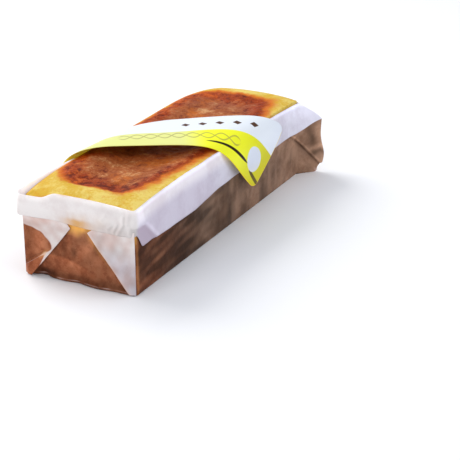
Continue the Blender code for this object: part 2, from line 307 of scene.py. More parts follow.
cakeSizes = {
    "halfLength": 129.2, "halfWidth": 42.2, "corner": 4.5, "base": 1.3,
    "crest": 63.1, "farSwell": 2.2,
    "leftDrop": 6.5, "rightDrop": 3.0, "farLeftDrop": 6.5, "farRightDrop": 3.5, "alongPower": 5, "acrossPower": 2.5,
    "shoulderReach": 9.0, "frontShoulder": 4.1, "farShoulder": 1.5, "leftShoulder": 1.6, "rightShoulder": 0.9,
    "endBlend": 6.0,
    "sink": 3.6, "sinkStart": 10.0, "sinkReach": 24.0,
    # the rounded foot: inset and height
    "foot": [(12.0, 0.0), (8.0, 0.0), (5.6, 0.6), (3.4, 2.2), (1.6, 4.8), (0.5, 8.4)], "wallFoot": 11.0,
    "columns": 920, "edgeBand": 14.0, "edgeStep": 0.55, "middleStep": 1.3, "wallRows": 15,
    # height, size and seed of the ripples: in the brown area's edge, in the crust, and over the whole top
    "uneven": [(1.3, 18, 3), (0.6, 6, 4)], "wrinkles": [(0.17, 6.5, 5), (0.08, 3.0, 6)], "swell": [(0.35, 26, 7)],
    # the share of them left on the right edge and on the golden rim
    "rightEven": 0.4, "rimWrinkles": 0.4,
    "ringDip": 0.27, "ringPlace": (1.5, 2.5), "flatReach": 5.0,
    # the depth inside the browned area that the foot and the wall count as
    "footDepth": 9.0, "wallDepth": -4.0,
}

# the edge of the browned area: a point on each stretch, the way it faces inwards, and how fast it turns lighter
brownEdges = [
    ((-110.1, -10.0), (1.0, -0.17), 0.42),    # front
    ((-105.5, -25.9), (0.45, 0.89), 0.8),     # right, near the front
    ((-60.0, -33.6), (0.085, 1.0), 1.0),      # right
    ((90.2, -32.6), (-0.25, 0.97), 0.8),      # right, towards the far end
    ((117.0, -21.9), (-0.83, 0.55), 0.6),     # far right corner
    ((113.2, 5.0), (-1.0, 0.07), 0.55),       # far end
    ((117.0, 20.0), (-0.79, -0.61), 0.7),     # far left corner
    ((0.0, 39.8), (0.0, -1.0), 0.9),          # left
    ((-94.2, 35.0), (0.68, -0.74), 0.8),      # front left corner
]
brownCorner = 2.2    # how far the corners between them are rounded


def outline(halfLength, halfWidth, corner, count):
    # points evenly by length round a rectangle with quarter circles for corners, from the far end's middle
    turn = np.linspace(0, math.pi / 2, 12)
    arc = np.stack([np.cos(turn), np.sin(turn)], -1) * corner
    near = arc + [halfLength - corner, halfWidth - corner]
    quarter = np.concatenate([[[halfLength, 0]], near, [[0, halfWidth]]])
    half = np.concatenate([quarter, quarter[:-1][::-1] * [-1, 1]])
    steps = np.hypot(*np.diff(half, axis=0).T)
    reached = np.concatenate([[0], np.cumsum(steps)])
    places = np.linspace(0, reached[-1], count // 2 + 1)
    x = np.interp(places, reached, half[:, 0])
    y = np.interp(places, reached, half[:, 1])
    upper = np.stack([x, y], -1)
    return np.concatenate([upper, upper[1:-1][::-1] * [1, -1]])


def crustHeight(x, y):
    # the crest less three things: the drop towards the corners, a power of the way along times one of the way
    # across; the shoulder, the square of the nearness to the wall; and the smooth sink of the middle
    c = cakeSizes
    along = np.abs(x) / c["halfLength"]
    across = np.abs(y) / c["halfWidth"]
    inward = np.minimum(c["halfLength"] - np.abs(x), c["halfWidth"] - np.abs(y))
    crest = c["crest"] + c["farSwell"] * smooth(x / c["halfLength"])
    toRight, toFar = fall(y, 15, 30), rise(x, -30, 60)
    nearDrop = blend(c["leftDrop"], c["rightDrop"], toRight)
    drop = blend(nearDrop, blend(c["farLeftDrop"], c["farRightDrop"], toRight), toFar)
    corner = drop * along ** c["alongPower"] * across ** c["acrossPower"]
    fromDiagonal = np.abs(x) - c["halfLength"] + c["halfWidth"] - np.abs(y)
    atEnd = rise(fromDiagonal, -c["endBlend"] / 2, c["endBlend"])
    sides = blend(c["leftShoulder"], c["rightShoulder"], toRight)
    amount = blend(sides, blend(c["frontShoulder"], c["farShoulder"], toFar), atEnd)
    shoulder = amount * np.clip(1 - inward / c["shoulderReach"], 0, 1) ** 2
    sink = c["sink"] * rise(inward, c["sinkStart"], c["sinkReach"])
    return crest - corner - shoulder - sink, inward


def brownDepth(x, y):
    # the least distance to the browned area's edges, in millimetres, negative outside in the golden rim;
    # and the same with each distance times its edge's pace, shorter where the dark ring is wide
    gaps = [((x - px) * nx + (y - py) * ny) / math.hypot(nx, ny) for (px, py), (nx, ny), pace in brownEdges]
    slowed = [gap * edge[-1] for gap, edge in zip(gaps, brownEdges)]
    return softMin(gaps, brownCorner), softMin(slowed, brownCorner)


# across the label from its middle line: where the painted shade under it starts on the right and on the left,
# and where it ends; toLeft is a step along y
labelShadePlace = {"start": (-23, -30), "toLeft": (4, 24), "startReach": 16, "end": 26, "endReach": 6}


def covered(grid):
    # how much of a point on the crust lies under the label, in plan: a smooth step up times one down, across
    # the strip; it is the mask of the painted shade under the label
    s, m = labelSizes, labelShadePlace
    x, y = grid[..., 0] - s["middle"], grid[..., 1]
    along = x * math.sin(s["turn"]) - y * math.cos(s["turn"])
    across = (x - s["bow"] * along ** 2) * math.cos(s["turn"]) + y * math.sin(s["turn"])
    start = blend(*m["start"], rise(y, *m["toLeft"]))
    return rise(across, start, m["startReach"]) * fall(across, m["end"], m["endReach"])


# how the colour goes from place to place, as rows for marks
crustMarks = {
    "farCalm": [(1.0,), (-0.45, (rise, "x", 60, 45))],
    "sideCalm": [(1.0,), (-0.3, "beside")],
    "farPace": [(1.0,), (-0.05, (rise, "x", 100, 12), (rise, "y", -24, 16))],
    "cornerPace": [(1.0,), (-0.25, (rise, "x", 84, 16), (fall, "y", -14, 12))],
    "warmth": [(1.0, (rise, "y", 6, 22))],
    "tan": [
        (1.0, (hill, "x", 74, 9), (hill, "y", 12.5, 6)),                            # a pale patch
        (-0.7, (hill, "y", 20.5, 4), (rise, "x", 62, 14), (fall, "x", 116, 12)),    # a dark streak beside it
        (-0.5, (hill, "x", 64, 10), (hill, "y", 28, 7)),
    ],
    "wallSkin": [(1.0,), (-0.9, (rise, "z", 56, 2), (fall, "y", 5, 10))],
}


def crustMasks(grid, depth, core, inward):
    # depth and core: how far inside the browned area, in metres; skin: the pale side;
    # calm: how even the colour is; warmth: more orange; tan: lighter or darker patches
    f = SimpleNamespace(x=grid[..., 0], y=grid[..., 1], z=grid[..., 2])
    f.beside = rise(np.abs(f.y), 16, 14)
    m = {name: marks(f, rows) for name, rows in crustMarks.items()}
    # the change of colour is slow and even on the right, quick on the left
    sidePace = blend(1.0, np.where(f.y < 0, 0.8, 1.4), f.beside)
    pace = sidePace * m["farPace"] * m["cornerPace"]
    footRows, wallRows = len(cakeSizes["foot"]), cakeSizes["wallRows"]
    below = np.repeat([cakeSizes["footDepth"], cakeSizes["wallDepth"]], [footRows, wallRows])
    below = np.repeat(below[:, None], grid.shape[1], 1)
    depth, core = (np.concatenate([below, values]) * 0.001 for values in (depth, core))
    skin = m["wallSkin"]
    skin[:footRows] = 1
    skin[footRows + wallRows:] = (1 - rise(inward, 0.3, 1.6)) * rise(f.y[footRows + wallRows:], 0, 20)
    return {"depth": depth * pace, "core": core, "skin": skin, "covered": covered(grid),
            "calm": m["farCalm"] * m["sideCalm"], "warmth": m["warmth"], "tan": m["tan"]}


def makeCake(material):
    # rings from the foot up the wall and over the top towards the middle;
    # the top is crustHeight with ripples and a dip along the dark ring
    c = cakeSizes
    ring = outline(c["halfLength"], c["halfWidth"], c["corner"], c["columns"])
    size = np.array([c["halfLength"], c["halfWidth"]])
    band = c["edgeBand"]
    inner = np.linspace(band, c["halfWidth"], round((c["halfWidth"] - band) / c["middleStep"]) + 1)
    insets = np.concatenate([np.arange(0, band, c["edgeStep"]), inner])
    plan = ring[None] * (1 - insets[:, None, None] / size)
    x, y = plan[..., 0], plan[..., 1]
    z, inward = crustHeight(x, y)
    points = np.stack([x, y, z], -1)
    depth, core = brownDepth(x, y)
    uneven = ripples(points, c["uneven"]) * blend(1.0, c["rightEven"], fall(y, -14, 12))
    depth, core = depth + uneven, core + uneven
    wrinkles = ripples(points, c["wrinkles"]) * blend(c["rimWrinkles"], 1.0, rise(depth, -2, 6))
    dip = c["ringDip"] * hill(depth, *c["ringPlace"])
    z = z + smooth(inward / c["flatReach"]) * (ripples(points, c["swell"]) + wrinkles - dip)
    top = np.stack([x, y, z], -1)
    wallStart = c["base"] + c["wallFoot"]
    lift = wallStart + (z[0] - wallStart) * np.linspace(0, 1, c["wallRows"] + 1)[:-1, None]
    wall = np.concatenate([np.repeat(ring[None], c["wallRows"], 0), lift[..., None]], -1)
    foot = np.array(c["foot"])
    footPlan = ring[None] * (1 - foot[:, :1, None] / size)
    footZ = np.repeat(foot[:, 1:] + c["base"], len(ring), 1)
    bottom = np.concatenate([footPlan, footZ[..., None]], -1)
    grid = np.concatenate([bottom, wall, top])
    masks = crustMasks(grid, depth, core, inward)
    cake = makePiece("cakeLoaf", grid, True, masks, material, capFirst=True, weld=True)
    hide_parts("cake")


crustColors = {
    "golden": srgb(214, 172, 52), "paleGold": srgb(228, 203, 108), "amber": srgb(208, 110, 32),
    "ember": srgb(196, 88, 26), "ring": srgb(156, 60, 20), "deep": srgb(98, 34, 20), "brown": srgb(160, 86, 46),
    "streak": srgb(212, 156, 106), "dark": srgb(104, 42, 28), "side": srgb(204, 148, 56), "labelShade": srgb(66, 18, 2),
    "mauve": srgb(150, 84, 66),
}

crustLook = {
    # scale and share of fine noise
    "patches": (38, 0.25), "cloud": (85, 0.4), "grain": (210, 0.4),
    # where each band starts and ends, in metres inside the browned area, and how far the noises shift it
    "amber": (-0.0060, -0.0008), "ring": (-0.0016, 0.0026), "middle": (0.0110, 0.0200),
    "cloudShift": 0.016, "grainShift": 0.014, "patchShift": 0.014,
    "warmShift": 0.09, "tanShift": 0.11, "skin": 0.75, "labelShade": 0.62,
    "roughness": (0.70, 0.50), "specular": 0.09, "bump": (0.6, 0.0011),
}


def makeCrustMaterial():
    # golden rim, amber fringe, dark ring, then the lighter mottled middle, by the depth inside the browned area;
    # then the pale side and the painted shade under the label
    material, tree, shader = newMaterial("bakedCrust")
    c, k = crustColors, crustLook
    place = coordinates(tree, "Object")
    patches, cloud, grain = (mottle(tree, place, *k[name]) for name in ("patches", "cloud", "grain"))
    calm = attribute(tree, "calm")
    warm = times(tree, attribute(tree, "warmth"), k["warmShift"])
    uneven = plus(tree, times(tree, minus(tree, cloud, 0.5), k["cloudShift"]),
                  times(tree, minus(tree, grain, 0.5), k["grainShift"]))
    level = plus(tree, attribute(tree, "depth"), times(tree, uneven, calm))
    core = plus(tree, plus(tree, attribute(tree, "core"), uneven), times(tree, patches, k["patchShift"]))
    gold = over(tree, c["golden"], c["paleGold"], minus(tree, plus(tree, cloud, 0.04), warm), 0.40, 0.62)
    gold = over(tree, gold, c["amber"], grain, 0.46, 0.30, 0.45)
    even = mapRange(tree, calm, 1.0, 0.5, 0.0, 0.04)
    ring = over(tree, c["deep"], c["ring"], plus(tree, grain, even), 0.42, 0.56)
    ring = over(tree, ring, c["ember"], plus(tree, cloud, warm), 0.54, 0.68)
    blotch = plus(tree, times(tree, cloud, 0.6), times(tree, grain, 0.4))
    blotch = plus(tree, blotch, times(tree, attribute(tree, "tan"), k["tanShift"]))
    middle = over(tree, c["brown"], c["streak"], blotch, 0.49, 0.66)
    middle = over(tree, middle, c["dark"], blotch, 0.49, 0.38)
    middle = over(tree, middle, c["mauve"], calm, 0.9, 0.5, 0.45)
    middle = over(tree, middle, c["amber"], patches, 0.50, 0.66, 0.6)
    color = over(tree, gold, c["amber"], level, *k["amber"])
    color = over(tree, color, ring, level, *k["ring"])
    color = over(tree, color, middle, core, *k["middle"])
    color = mixColor(tree, times(tree, attribute(tree, "skin"), k["skin"]), color, c["side"])
    # painted shade under the label: the crust is mixed towards a near-black brown where the strip covers it
    color = mixColor(tree, times(tree, attribute(tree, "covered"), k["labelShade"]), color, c["labelShade"])
    height = plus(tree, times(tree, cloud, 1.2), grain)
    setInputs(tree, shader, {
        "Base Color": color, "Roughness": mapRange(tree, grain, 0.3, 0.7, *k["roughness"]),
        "Specular IOR Level": k["specular"], "Normal": bumpNormal(tree, height, *k["bump"])})
    return material


# the parchment case

caseSizes = {
    "halfLength": 130.0, "halfWidth": 43.0, "corner": 3.0, "sheet": 0.28,
    "lip": 0.7, "gap": 0.8, "flare": 0.8,
    # the rim's height all round; a pair is a step's start and reach, and rightReach the reaches before and past
    # rightMiddle
    "rim": 59.6, "farRise": 0.6,
    "rightTop": 63.0, "rightFall": 2.8, "rightMiddle": -35.0, "rightReach": (93.0, 155.0), "rightPower": 3.5,
    "frontLow": 57.5, "frontHigh": 61.8, "frontFall": 2.2, "notch": (27.0, 12.0),
    "leftFront": 61.0, "leftBack": 56.4, "leftFall": (-72.0, 35.0), "leftCornerFall": 2.0, "leftCorner": (-114, 16),
    # the height of the cuff's edge
    "frontCuff": 43.6, "frontCuffFall": 2.0, "frontCuffPlace": (24, 34),
    "rightCuffFront": 33.0, "rightCuffBack": 37.5, "cutTop": 45.0, "cutStart": 0.5, "cutReach": 6.5,
    "leftCuff": 37.0, "leftCuffFall": (12, 40), "farCuff": 38.0,
    # how far the cuff stands out at the front left corner, and the pinched corners at the far end
    "proud": 1.9, "proudReach": 20.0,
    "pinchOut": 11.6, "pinchSide": 14.8, "pinchTop": 45.0, "pinchStart": 22.0, "pinchLean": 0.93,
    "pinchBack": 14.0, "pinchBlunt": 1.2,
    # the share of that pinch at the wall's foot and top, at its belly, behind the cuff and at the hem
    "wallPinch": (0.84, 0.99), "pinchBelly": 0.07, "behindPinch": 1.01, "hemPinch": 0.87, "pinchSwing": 1.2,
    # the rounded foot: height, outwards, share of the pinch
    "foot": [(0, -9.0, 0.6), (0, -3.0, 0.68), (0, -0.9, 0.78), (0.4, -0.2, 0.83)],
    "wallLow": 1.2, "wallTop": 34.0,
    "frontColumns": 120, "cornerColumns": 7, "sideColumns": 124, "pinchColumns": 24, "farColumns": 36,
    "faceEdge": (3.5, 3), "sideSpread": 0.4,
    "wallRows": 44, "behindSteps": (0.35, 0.7, 1.0), "upperRows": 10, "lipTurns": 7, "cuffRows": 26,
}

# how far the front's foot stands out or in along the width: place, reach, amount
footSteps = [(-14, 10, 1.7), (-34, 9, 0.5), (2, 4.5, -0.8), (13, 6, 0.5), (29, 4.5, -3.2), (38, 5, -0.6)]


def roundCorners(x, front, sides, far):
    # the sides' value, blended smoothly to the front's and the far end's over the corners
    c = caseSizes
    inner = c["halfLength"] - c["corner"]
    return blend(blend(sides, front, fall(x, -inner, c["corner"])), far, rise(x, inner, c["corner"]))


def rimHeight(x, y):
    # each side's own height along it: a curve that falls by a power of the way from its middle, or a smooth step
    c = caseSizes
    overlap = fall(y, *c["notch"])
    front = blend(c["frontLow"], c["frontHigh"], overlap)
    front = front - c["frontFall"] * np.clip(-y / c["halfWidth"], 0, None) ** 2
    middleShare = 1 - np.minimum(np.abs(y) / c["halfWidth"], 1) ** 2    # 1 in the middle, 0 at the sides
    toLeft = rise(y, -c["halfWidth"], 2 * c["halfWidth"])
    far = blend(c["rim"], c["leftBack"], toLeft) + c["farRise"] * middleShare
    left = blend(c["leftFront"], c["leftBack"], rise(x, *c["leftFall"]))
    left = left - c["leftCornerFall"] * fall(x, *c["leftCorner"])
    reach = np.where(x < c["rightMiddle"], *c["rightReach"])
    right = c["rightTop"] - c["rightFall"] * np.abs((x - c["rightMiddle"]) / reach) ** c["rightPower"]
    return roundCorners(x, front, np.where(y < 0, right, left), far)


def cuffHeight(x, y):
    # the same for the cuff's edge, which is cut short on the right at the front by a straight ramp
    c = caseSizes
    fromFront = x + c["halfLength"]
    right = blend(c["rightCuffFront"], c["rightCuffBack"], rise(x, -c["halfLength"] / 2, c["halfLength"] / 2))
    cut = np.clip(1 - (fromFront - c["cutStart"]) / c["cutReach"], 0, 1)
    right = right + (c["cutTop"] - c["rightCuffFront"]) * cut
    left = blend(c["frontCuff"], c["leftCuff"], rise(fromFront, *c["leftCuffFall"]))
    front = c["frontCuff"] - c["frontCuffFall"] * fall(y, *c["frontCuffPlace"])
    z = roundCorners(x, front, np.where(y < 0, right, left), c["farCuff"])
    return blend(z, c["pinchTop"], rise(np.abs(y), c["halfWidth"], c["pinchSide"]))


def walk(path, fractions):
    # points at fractions of the length of an open path, straight between its points
    path = np.array(path)
    steps = np.hypot(*np.diff(path, axis=0).T)
    reached = np.concatenate([[0], np.cumsum(steps)]) / steps.sum()
    return np.stack([np.interp(fractions, reached, path[:, 0]), np.interp(fractions, reached, path[:, 1])], -1)


def casePlan(z, out, pinch):
    # the ring round the case at one height: front end, corner, left side, pinched corner, far end, and the
    # same mirrored; the far corner goes from a plain one to the pinched one as pinch goes from 0 to 1
    c = caseSizes
    end = c["halfLength"] + out
    side = c["halfWidth"] + out
    flat = c["halfWidth"] - c["corner"]
    y = np.linspace(-flat, flat, c["frontColumns"])
    front = np.stack([np.full_like(y, -end), y], -1)
    turn = np.linspace(0, math.pi / 2, c["cornerColumns"])[1:-1]
    reach = c["corner"] + out
    nearCorner = np.stack([-c["halfLength"] + c["corner"] - reach * np.cos(turn), flat + reach * np.sin(turn)], -1)
    start = max(c["pinchStart"] + c["pinchLean"] * min(z - c["pinchTop"], 0), c["corner"])
    t = np.linspace(0, 1, c["sideColumns"] + 1)[:-1]
    spacing = t + c["sideSpread"] * (t * t - t)    # denser towards the front
    x = blend(-c["halfLength"] + c["corner"], c["halfLength"] - start, spacing)
    left = np.stack([x, np.full_like(x, side)], -1)
    first = (c["halfLength"] - start, side)
    last = (end, c["halfWidth"] - c["pinchBack"])
    off = reach * (1 - math.sqrt(0.5))
    plain = [first, (end - c["corner"], side), (end - off, side - off), (end, side - c["corner"]), last]
    plain = walk(plain, np.linspace(0, 1, 2 * c["pinchColumns"] + 1))
    tip = (end + c["pinchOut"] - c["pinchBlunt"], side + c["pinchSide"])
    tipBack = (end + c["pinchOut"], side + c["pinchSide"] - c["pinchBlunt"])
    ear = np.concatenate([walk([first, tip], np.linspace(0, 1, c["pinchColumns"] + 1)),
                          walk([tipBack, last], np.linspace(0, 1, c["pinchColumns"]))])
    farCorner = blend(plain, ear, pinch)
    y = np.linspace(last[1], -last[1], c["farColumns"] + 1)[1:-1]
    far = np.stack([np.full_like(y, end), y], -1)
    leftPart = np.concatenate([nearCorner, left, farCorner])
    return np.concatenate([front, leftPart, far, leftPart[::-1] * [1, -1]])


def caseRing(z, out, pinch, height=None, proud=0.0):
    # that ring in space, level at z or following a height over the plan
    c = caseSizes
    plan = casePlan(z, out, pinch)
    x, y = plan[:, 0], plan[:, 1]
    shift = proud * bump(np.hypot(x + c["halfLength"], y - c["halfWidth"]) / c["proudReach"])
    level = np.full(len(x), float(z)) if height is None else height(x, y)
    return np.stack([x - shift, y + shift, level], -1)


def makeCase(material):
    # rings one after another: out over the base, up the wall, half a circle over the rim, down the cuff
    c = caseSizes
    top = c["pinchTop"]

    def underLip(x, y):
        # the rim less its rounded lip
        return rimHeight(x, y) - c["lip"]

    def swing(t):
        # how far the pinched corner still stands out, from the cuff's edge (0) to the rim (1)
        return 1 - t ** c["pinchSwing"]

    rings = [caseRing(*row) for row in c["foot"]]
    for z in np.linspace(c["wallLow"], c["wallTop"], c["wallRows"]):
        belly = c["pinchBelly"] * hill(z, 17, 9)
        rings.append(caseRing(z, 0, blend(*c["wallPinch"], rise(z, c["wallLow"], 10)) + belly))
    wallEnd = rings[-1]
    behind = caseRing(top - c["lip"], 0, c["behindPinch"], cuffHeight)
    rings += [blend(wallEnd, behind, t) for t in c["behindSteps"]]
    lipRing = caseRing(c["rim"], 0, 0, underLip, c["proud"])
    for t in np.linspace(0, 1, c["upperRows"])[1:]:
        step = blend(behind, lipRing, t)
        step[:, :2] = blend(lipRing[:, :2], behind[:, :2], swing(t))
        rings.append(step)
    turned = caseRing(c["rim"], c["gap"], 0, underLip, c["proud"])
    for turn in np.linspace(0, math.pi, c["lipTurns"])[1:-1]:
        fold = blend(lipRing, turned, 0.5 - 0.5 * math.cos(turn))
        fold[:, 2] += c["lip"] * math.sin(turn)
        rings.append(fold)
    cuffStart = len(rings)
    hem = caseRing(top, c["gap"] + c["flare"], c["hemPinch"], cuffHeight, c["proud"])
    rings.append(turned)
    for t in np.linspace(0, 1, c["cuffRows"])[1:]:
        step = blend(turned, hem, t)
        step[:, :2] = blend(turned[:, :2], hem[:, :2], swing(1 - t))
        rings.append(step)
    grid = np.stack(rings)
    rows = np.arange(len(grid))[:, None] - cuffStart
    onCuff = rise(rows, -3, 4)
    downCuff = np.clip(rows / (c["cuffRows"] - 1), 0, 1)
    fields = caseFields(grid, onCuff, downCuff)
    case = makePiece("caseSheet", crumpleCase(fields), True, caseMasks(fields), material, flip=True, capFirst=True)
    thicken(case, c["sheet"] * 0.001, -1)
    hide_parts("paper_case")


def outwardOf(ring):
    # unit vectors in plan away from the loaf: the way from the last point to the next, turned by a quarter
    way = np.roll(ring, -1, 0) - np.roll(ring, 1, 0)
    out = np.stack([-way[:, 1], way[:, 0], np.zeros(len(ring))], -1)
    return out / (np.linalg.norm(out, axis=1)[:, None] + 1e-9)


def facing(grid):
    # how much each point belongs to the front end, and to the right side
    c = caseSizes
    start, reach = c["faceEdge"]
    return fall(grid[..., 0], start - c["halfLength"], reach), fall(grid[..., 1], start - c["halfWidth"], reach)


def earShare(grid):
    # 0 where the far corner's pinch starts on the side, 1 at its tip
    c = caseSizes
    out = np.abs(grid[..., 1]) - c["halfWidth"]
    return np.clip(out / c["pinchSide"], 0, 1) * rise(grid[..., 0], 90, 10)


# short creases in the front cuff near the right corner: two ends as (y, z), then the depth
creases = [
    ((-32.0, 42.0), (-36.6, 49.8), 1.0),
    ((-29.0, 43.4), (-31.6, 48.4), 0.7),
    ((-36.6, 55.0), (-36.2, 50.5), 0.7),
    ((-24.5, 44.6), (-27.4, 47.0), 0.5),
    ((-20.0, 50.0), (-23.0, 53.5), 0.3),
    ((-40.4, 57.0), (-39.4, 50.5), 0.45),
    ((-41.2, 48.5), (-40.6, 44.5), 0.4),
]


def creaseField(grid, width):
    # each crease's depth times a bell of the distance to its line, the most of them at each point
    y, z = grid[..., 1], grid[..., 2]
    total = 0 * y
    for (y0, z0), (y1, z1), depth in creases:
        long = math.hypot(y1 - y0, z1 - z0)
        along = ((y - y0) * (y1 - y0) + (z - z0) * (z1 - z0)) / long
        away = ((y - y0) * (z1 - z0) - (z - z0) * (y1 - y0)) / long
        beyond = np.clip(np.maximum(-along, along - long), 0, None)
        total = np.maximum(total, depth * bump(np.hypot(away, beyond) / width))
    return total


# the pale swelling that crosses the soaked front wall in a low arch: its height, slope and bow, its soft
# upper edge, how far it fades downwards, and its place along y
archSwelling = {"height": 16.0, "slope": 0.10, "bow": 0.010, "middle": 14, "edge": (-0.8, 1.6), "fade": 7,
                "place": (10, 17)}


def lobe(y, z):
    # a sharp step at its upper edge, a parabola, times a slow decay downwards and a bell along y
    s = archSwelling
    under = s["height"] + s["slope"] * y - s["bow"] * (y - s["middle"]) ** 2 - z
    return rise(under, *s["edge"]) * np.exp(-np.clip(under, 0, None) / s["fade"]) * hill(y, *s["place"])


# straight lines on the walls: a place on each, as (x or y, z), and how far it leans over for its height
caseLines = {
    "beamRight": ((-10, 37), 0.8), "beamLeft": ((-9, 30), -0.8),    # slanting beams on the front wall
    "cutEdge": ((-122.5, 55), -0.3),                                # the edge of the right cuff's cut end
}


def leaning(value, z, line):
    # how far a value is past a line: less its place, less the lean times the height over that place
    (place, height), lean = caseLines[line]
    return value - place - lean * (z - height)


# the crease that runs down across the pinched corner to its tip: a place on it, and its fall along x and y
earCrease = {"place": (112.6, 44.0, 35.4), "fall": (0.55, 0.95)}
secondFold = {"share": 0.52, "height": 0.5, "fall": 28}    # a steeper fold over it: a place on it and its fall

# the slanting fold across the right cuff's cut end: a place on it in x and z, and the way square to it
cutFold = {"place": (-116.6, 48.0), "way": (0.68, 0.733), "shift": 1.8}


def creaseGap(grid):
    # height above the crease: z less its place, with the falls times the ways along x and y added
    (x, y, z), (alongX, alongY) = earCrease["place"], earCrease["fall"]
    return grid[..., 2] - z + alongX * (grid[..., 0] - x) + alongY * (np.abs(grid[..., 1]) - y)


def cutGap(grid):
    # distance from the slanting fold, positive away from the corner
    (x, z), (wayX, wayZ) = cutFold["place"], cutFold["way"]
    return wayX * (grid[..., 0] - x) + wayZ * (grid[..., 2] - z) + cutFold["shift"]


def caseFields(grid, onCuff, downCuff):
    # what the folds and colours are worked out from: places, the face a point is on, distances to the folds,
    # which are straight lines or planes
    x, y, z = grid[..., 0], grid[..., 1], grid[..., 2]
    f = SimpleNamespace(grid=grid, x=x, y=y, z=z, onCuff=onCuff, downCuff=downCuff, onWall=1 - onCuff)
    f.onFront, f.onRight = facing(grid)
    f.beside = 1 - f.onFront
    f.toRight = fall(y, 0, 20)
    f.rightCuff = onCuff * f.onRight * f.beside
    f.fromRim = z - rimHeight(x, y)
    f.high = rise(f.fromRim, -14, 9)
    f.low = 1 - f.high
    f.swelling = lobe(y, z)
    # the far corner's ear: the share of the way to its tip, the height above its crease and above a second fold
    f.share = earShare(grid)
    f.above = creaseGap(grid)
    f.second = f.above - secondFold["height"] - secondFold["fall"] * (f.share - secondFold["share"])
    f.beamRight, f.beamLeft = leaning(y, z, "beamRight"), leaning(y, z, "beamLeft")
    f.cutEdge = leaning(x, z, "cutEdge")
    f.slant = cutGap(grid)
    for name, (stretch, size, seed) in caseRipples.items():
        setattr(f, name, ripple(grid * stretch, size, seed))
    f.slanting = ripple(np.stack([0.2 * x, y, z - 0.12 * x], -1), 9, 30)    # long streaks that rise a little
    return f


# ripples over the case: how x, y and z are stretched, size and seed
caseRipples = {
    "wide": ([1, 1, 1], 36, 11), "fine": ([1, 1, 1], 10, 12), "hemWave": ([1, 1, 1], 30, 13),
    "glowEdge": ([1, 1, 1], 9, 23), "dryEdge": ([1, 1, 1], 12, 24), "stripes": ([1, 1, 0.15], 3.5, 25),
    "upright": ([1, 1, 0.5], 18, 26), "spots": ([1, 1, 1], 7, 27), "footEdge": ([1, 1, 1], 9, 28),
    "streaks": ([0, 1, 0.35], 6, 29), "creamEdge": ([1, 1, 1], 9, 35), "folds": ([1, 1, 0.25], 8, 36),
}

# how far the sheet stands out, in millimetres, as rows for marks
caseFolds = [
    (0.35, "onCuff", "downCuff", "hemSwing"), (0.35, "onCuff", "sag"),
    (-0.55, "onFront", "onCuff", "downCuff", (fall, "y", 30, 12)),                  # the front cuff lies close
    (1.0, "onFront", "footStep", (fall, "z", 9, 7)), (0.35, "onFront", (hill, "z", 1.4, 0.8)),
    (0.9, "onFront", "onWall", "swelling"), (0.6, "onFront", "onCuff", "creaseEdges"),
    # the pinched corner's crease, its second fold and its belly
    (1.6, "onWall", "earRidge", (rise, "x", 101, 5)),
    (0.8, "onWall", "share", (rise, "x", 101, 5), (hill, "above", -9, 2.2)),
    (0.9, "onWall", "share", "share", "share", (hill, "z", 16, 7)),
    # the cut end of the right cuff turns in below a slanting fold
    (-1.2, "onCuff", "onRight", (fall, "slant", 0, 4), (fall, "x", -92, 10), (fall, "z", 49.5, 4)),
]

# soft hollows all over: their heights, the share of them on the front, and how far up the foot they fade in
hollows = {"wide": 0.20, "fine": 0.06, "onFront": 0.45, "foot": 6}


def crumpleCase(f):
    # each point moved outwards by a sum of ripples, bells and steps: soft hollows and swellings, the front's
    # foot, the hem, the creases and the pinched corner's fold
    out = np.stack([outwardOf(ring) for ring in f.grid])
    f.hemSwing = (f.hemWave + 0.6) * (1 - 0.6 * f.onFront)
    f.sag = np.sin(np.pi * f.downCuff)
    f.footStep = sum(high * hill(f.y, place, reach) for place, reach, high in footSteps)
    f.creaseEdges = sum(creaseField(f.grid + [0, shift, 0], 1.5) for shift in (-1.4, 1.4))    # beside each crease
    f.earRidge = rise(f.above, -0.7, 1.1) * np.exp(-np.clip(f.above, 0, None) / 5)
    soft = hollows["wide"] * (f.wide + 1) + hollows["fine"] * f.fine
    soft = soft * smooth(f.z / hollows["foot"]) * blend(1.0, hollows["onFront"], f.onFront)
    return f.grid + out * (soft + marks(f, caseFolds))[..., None]
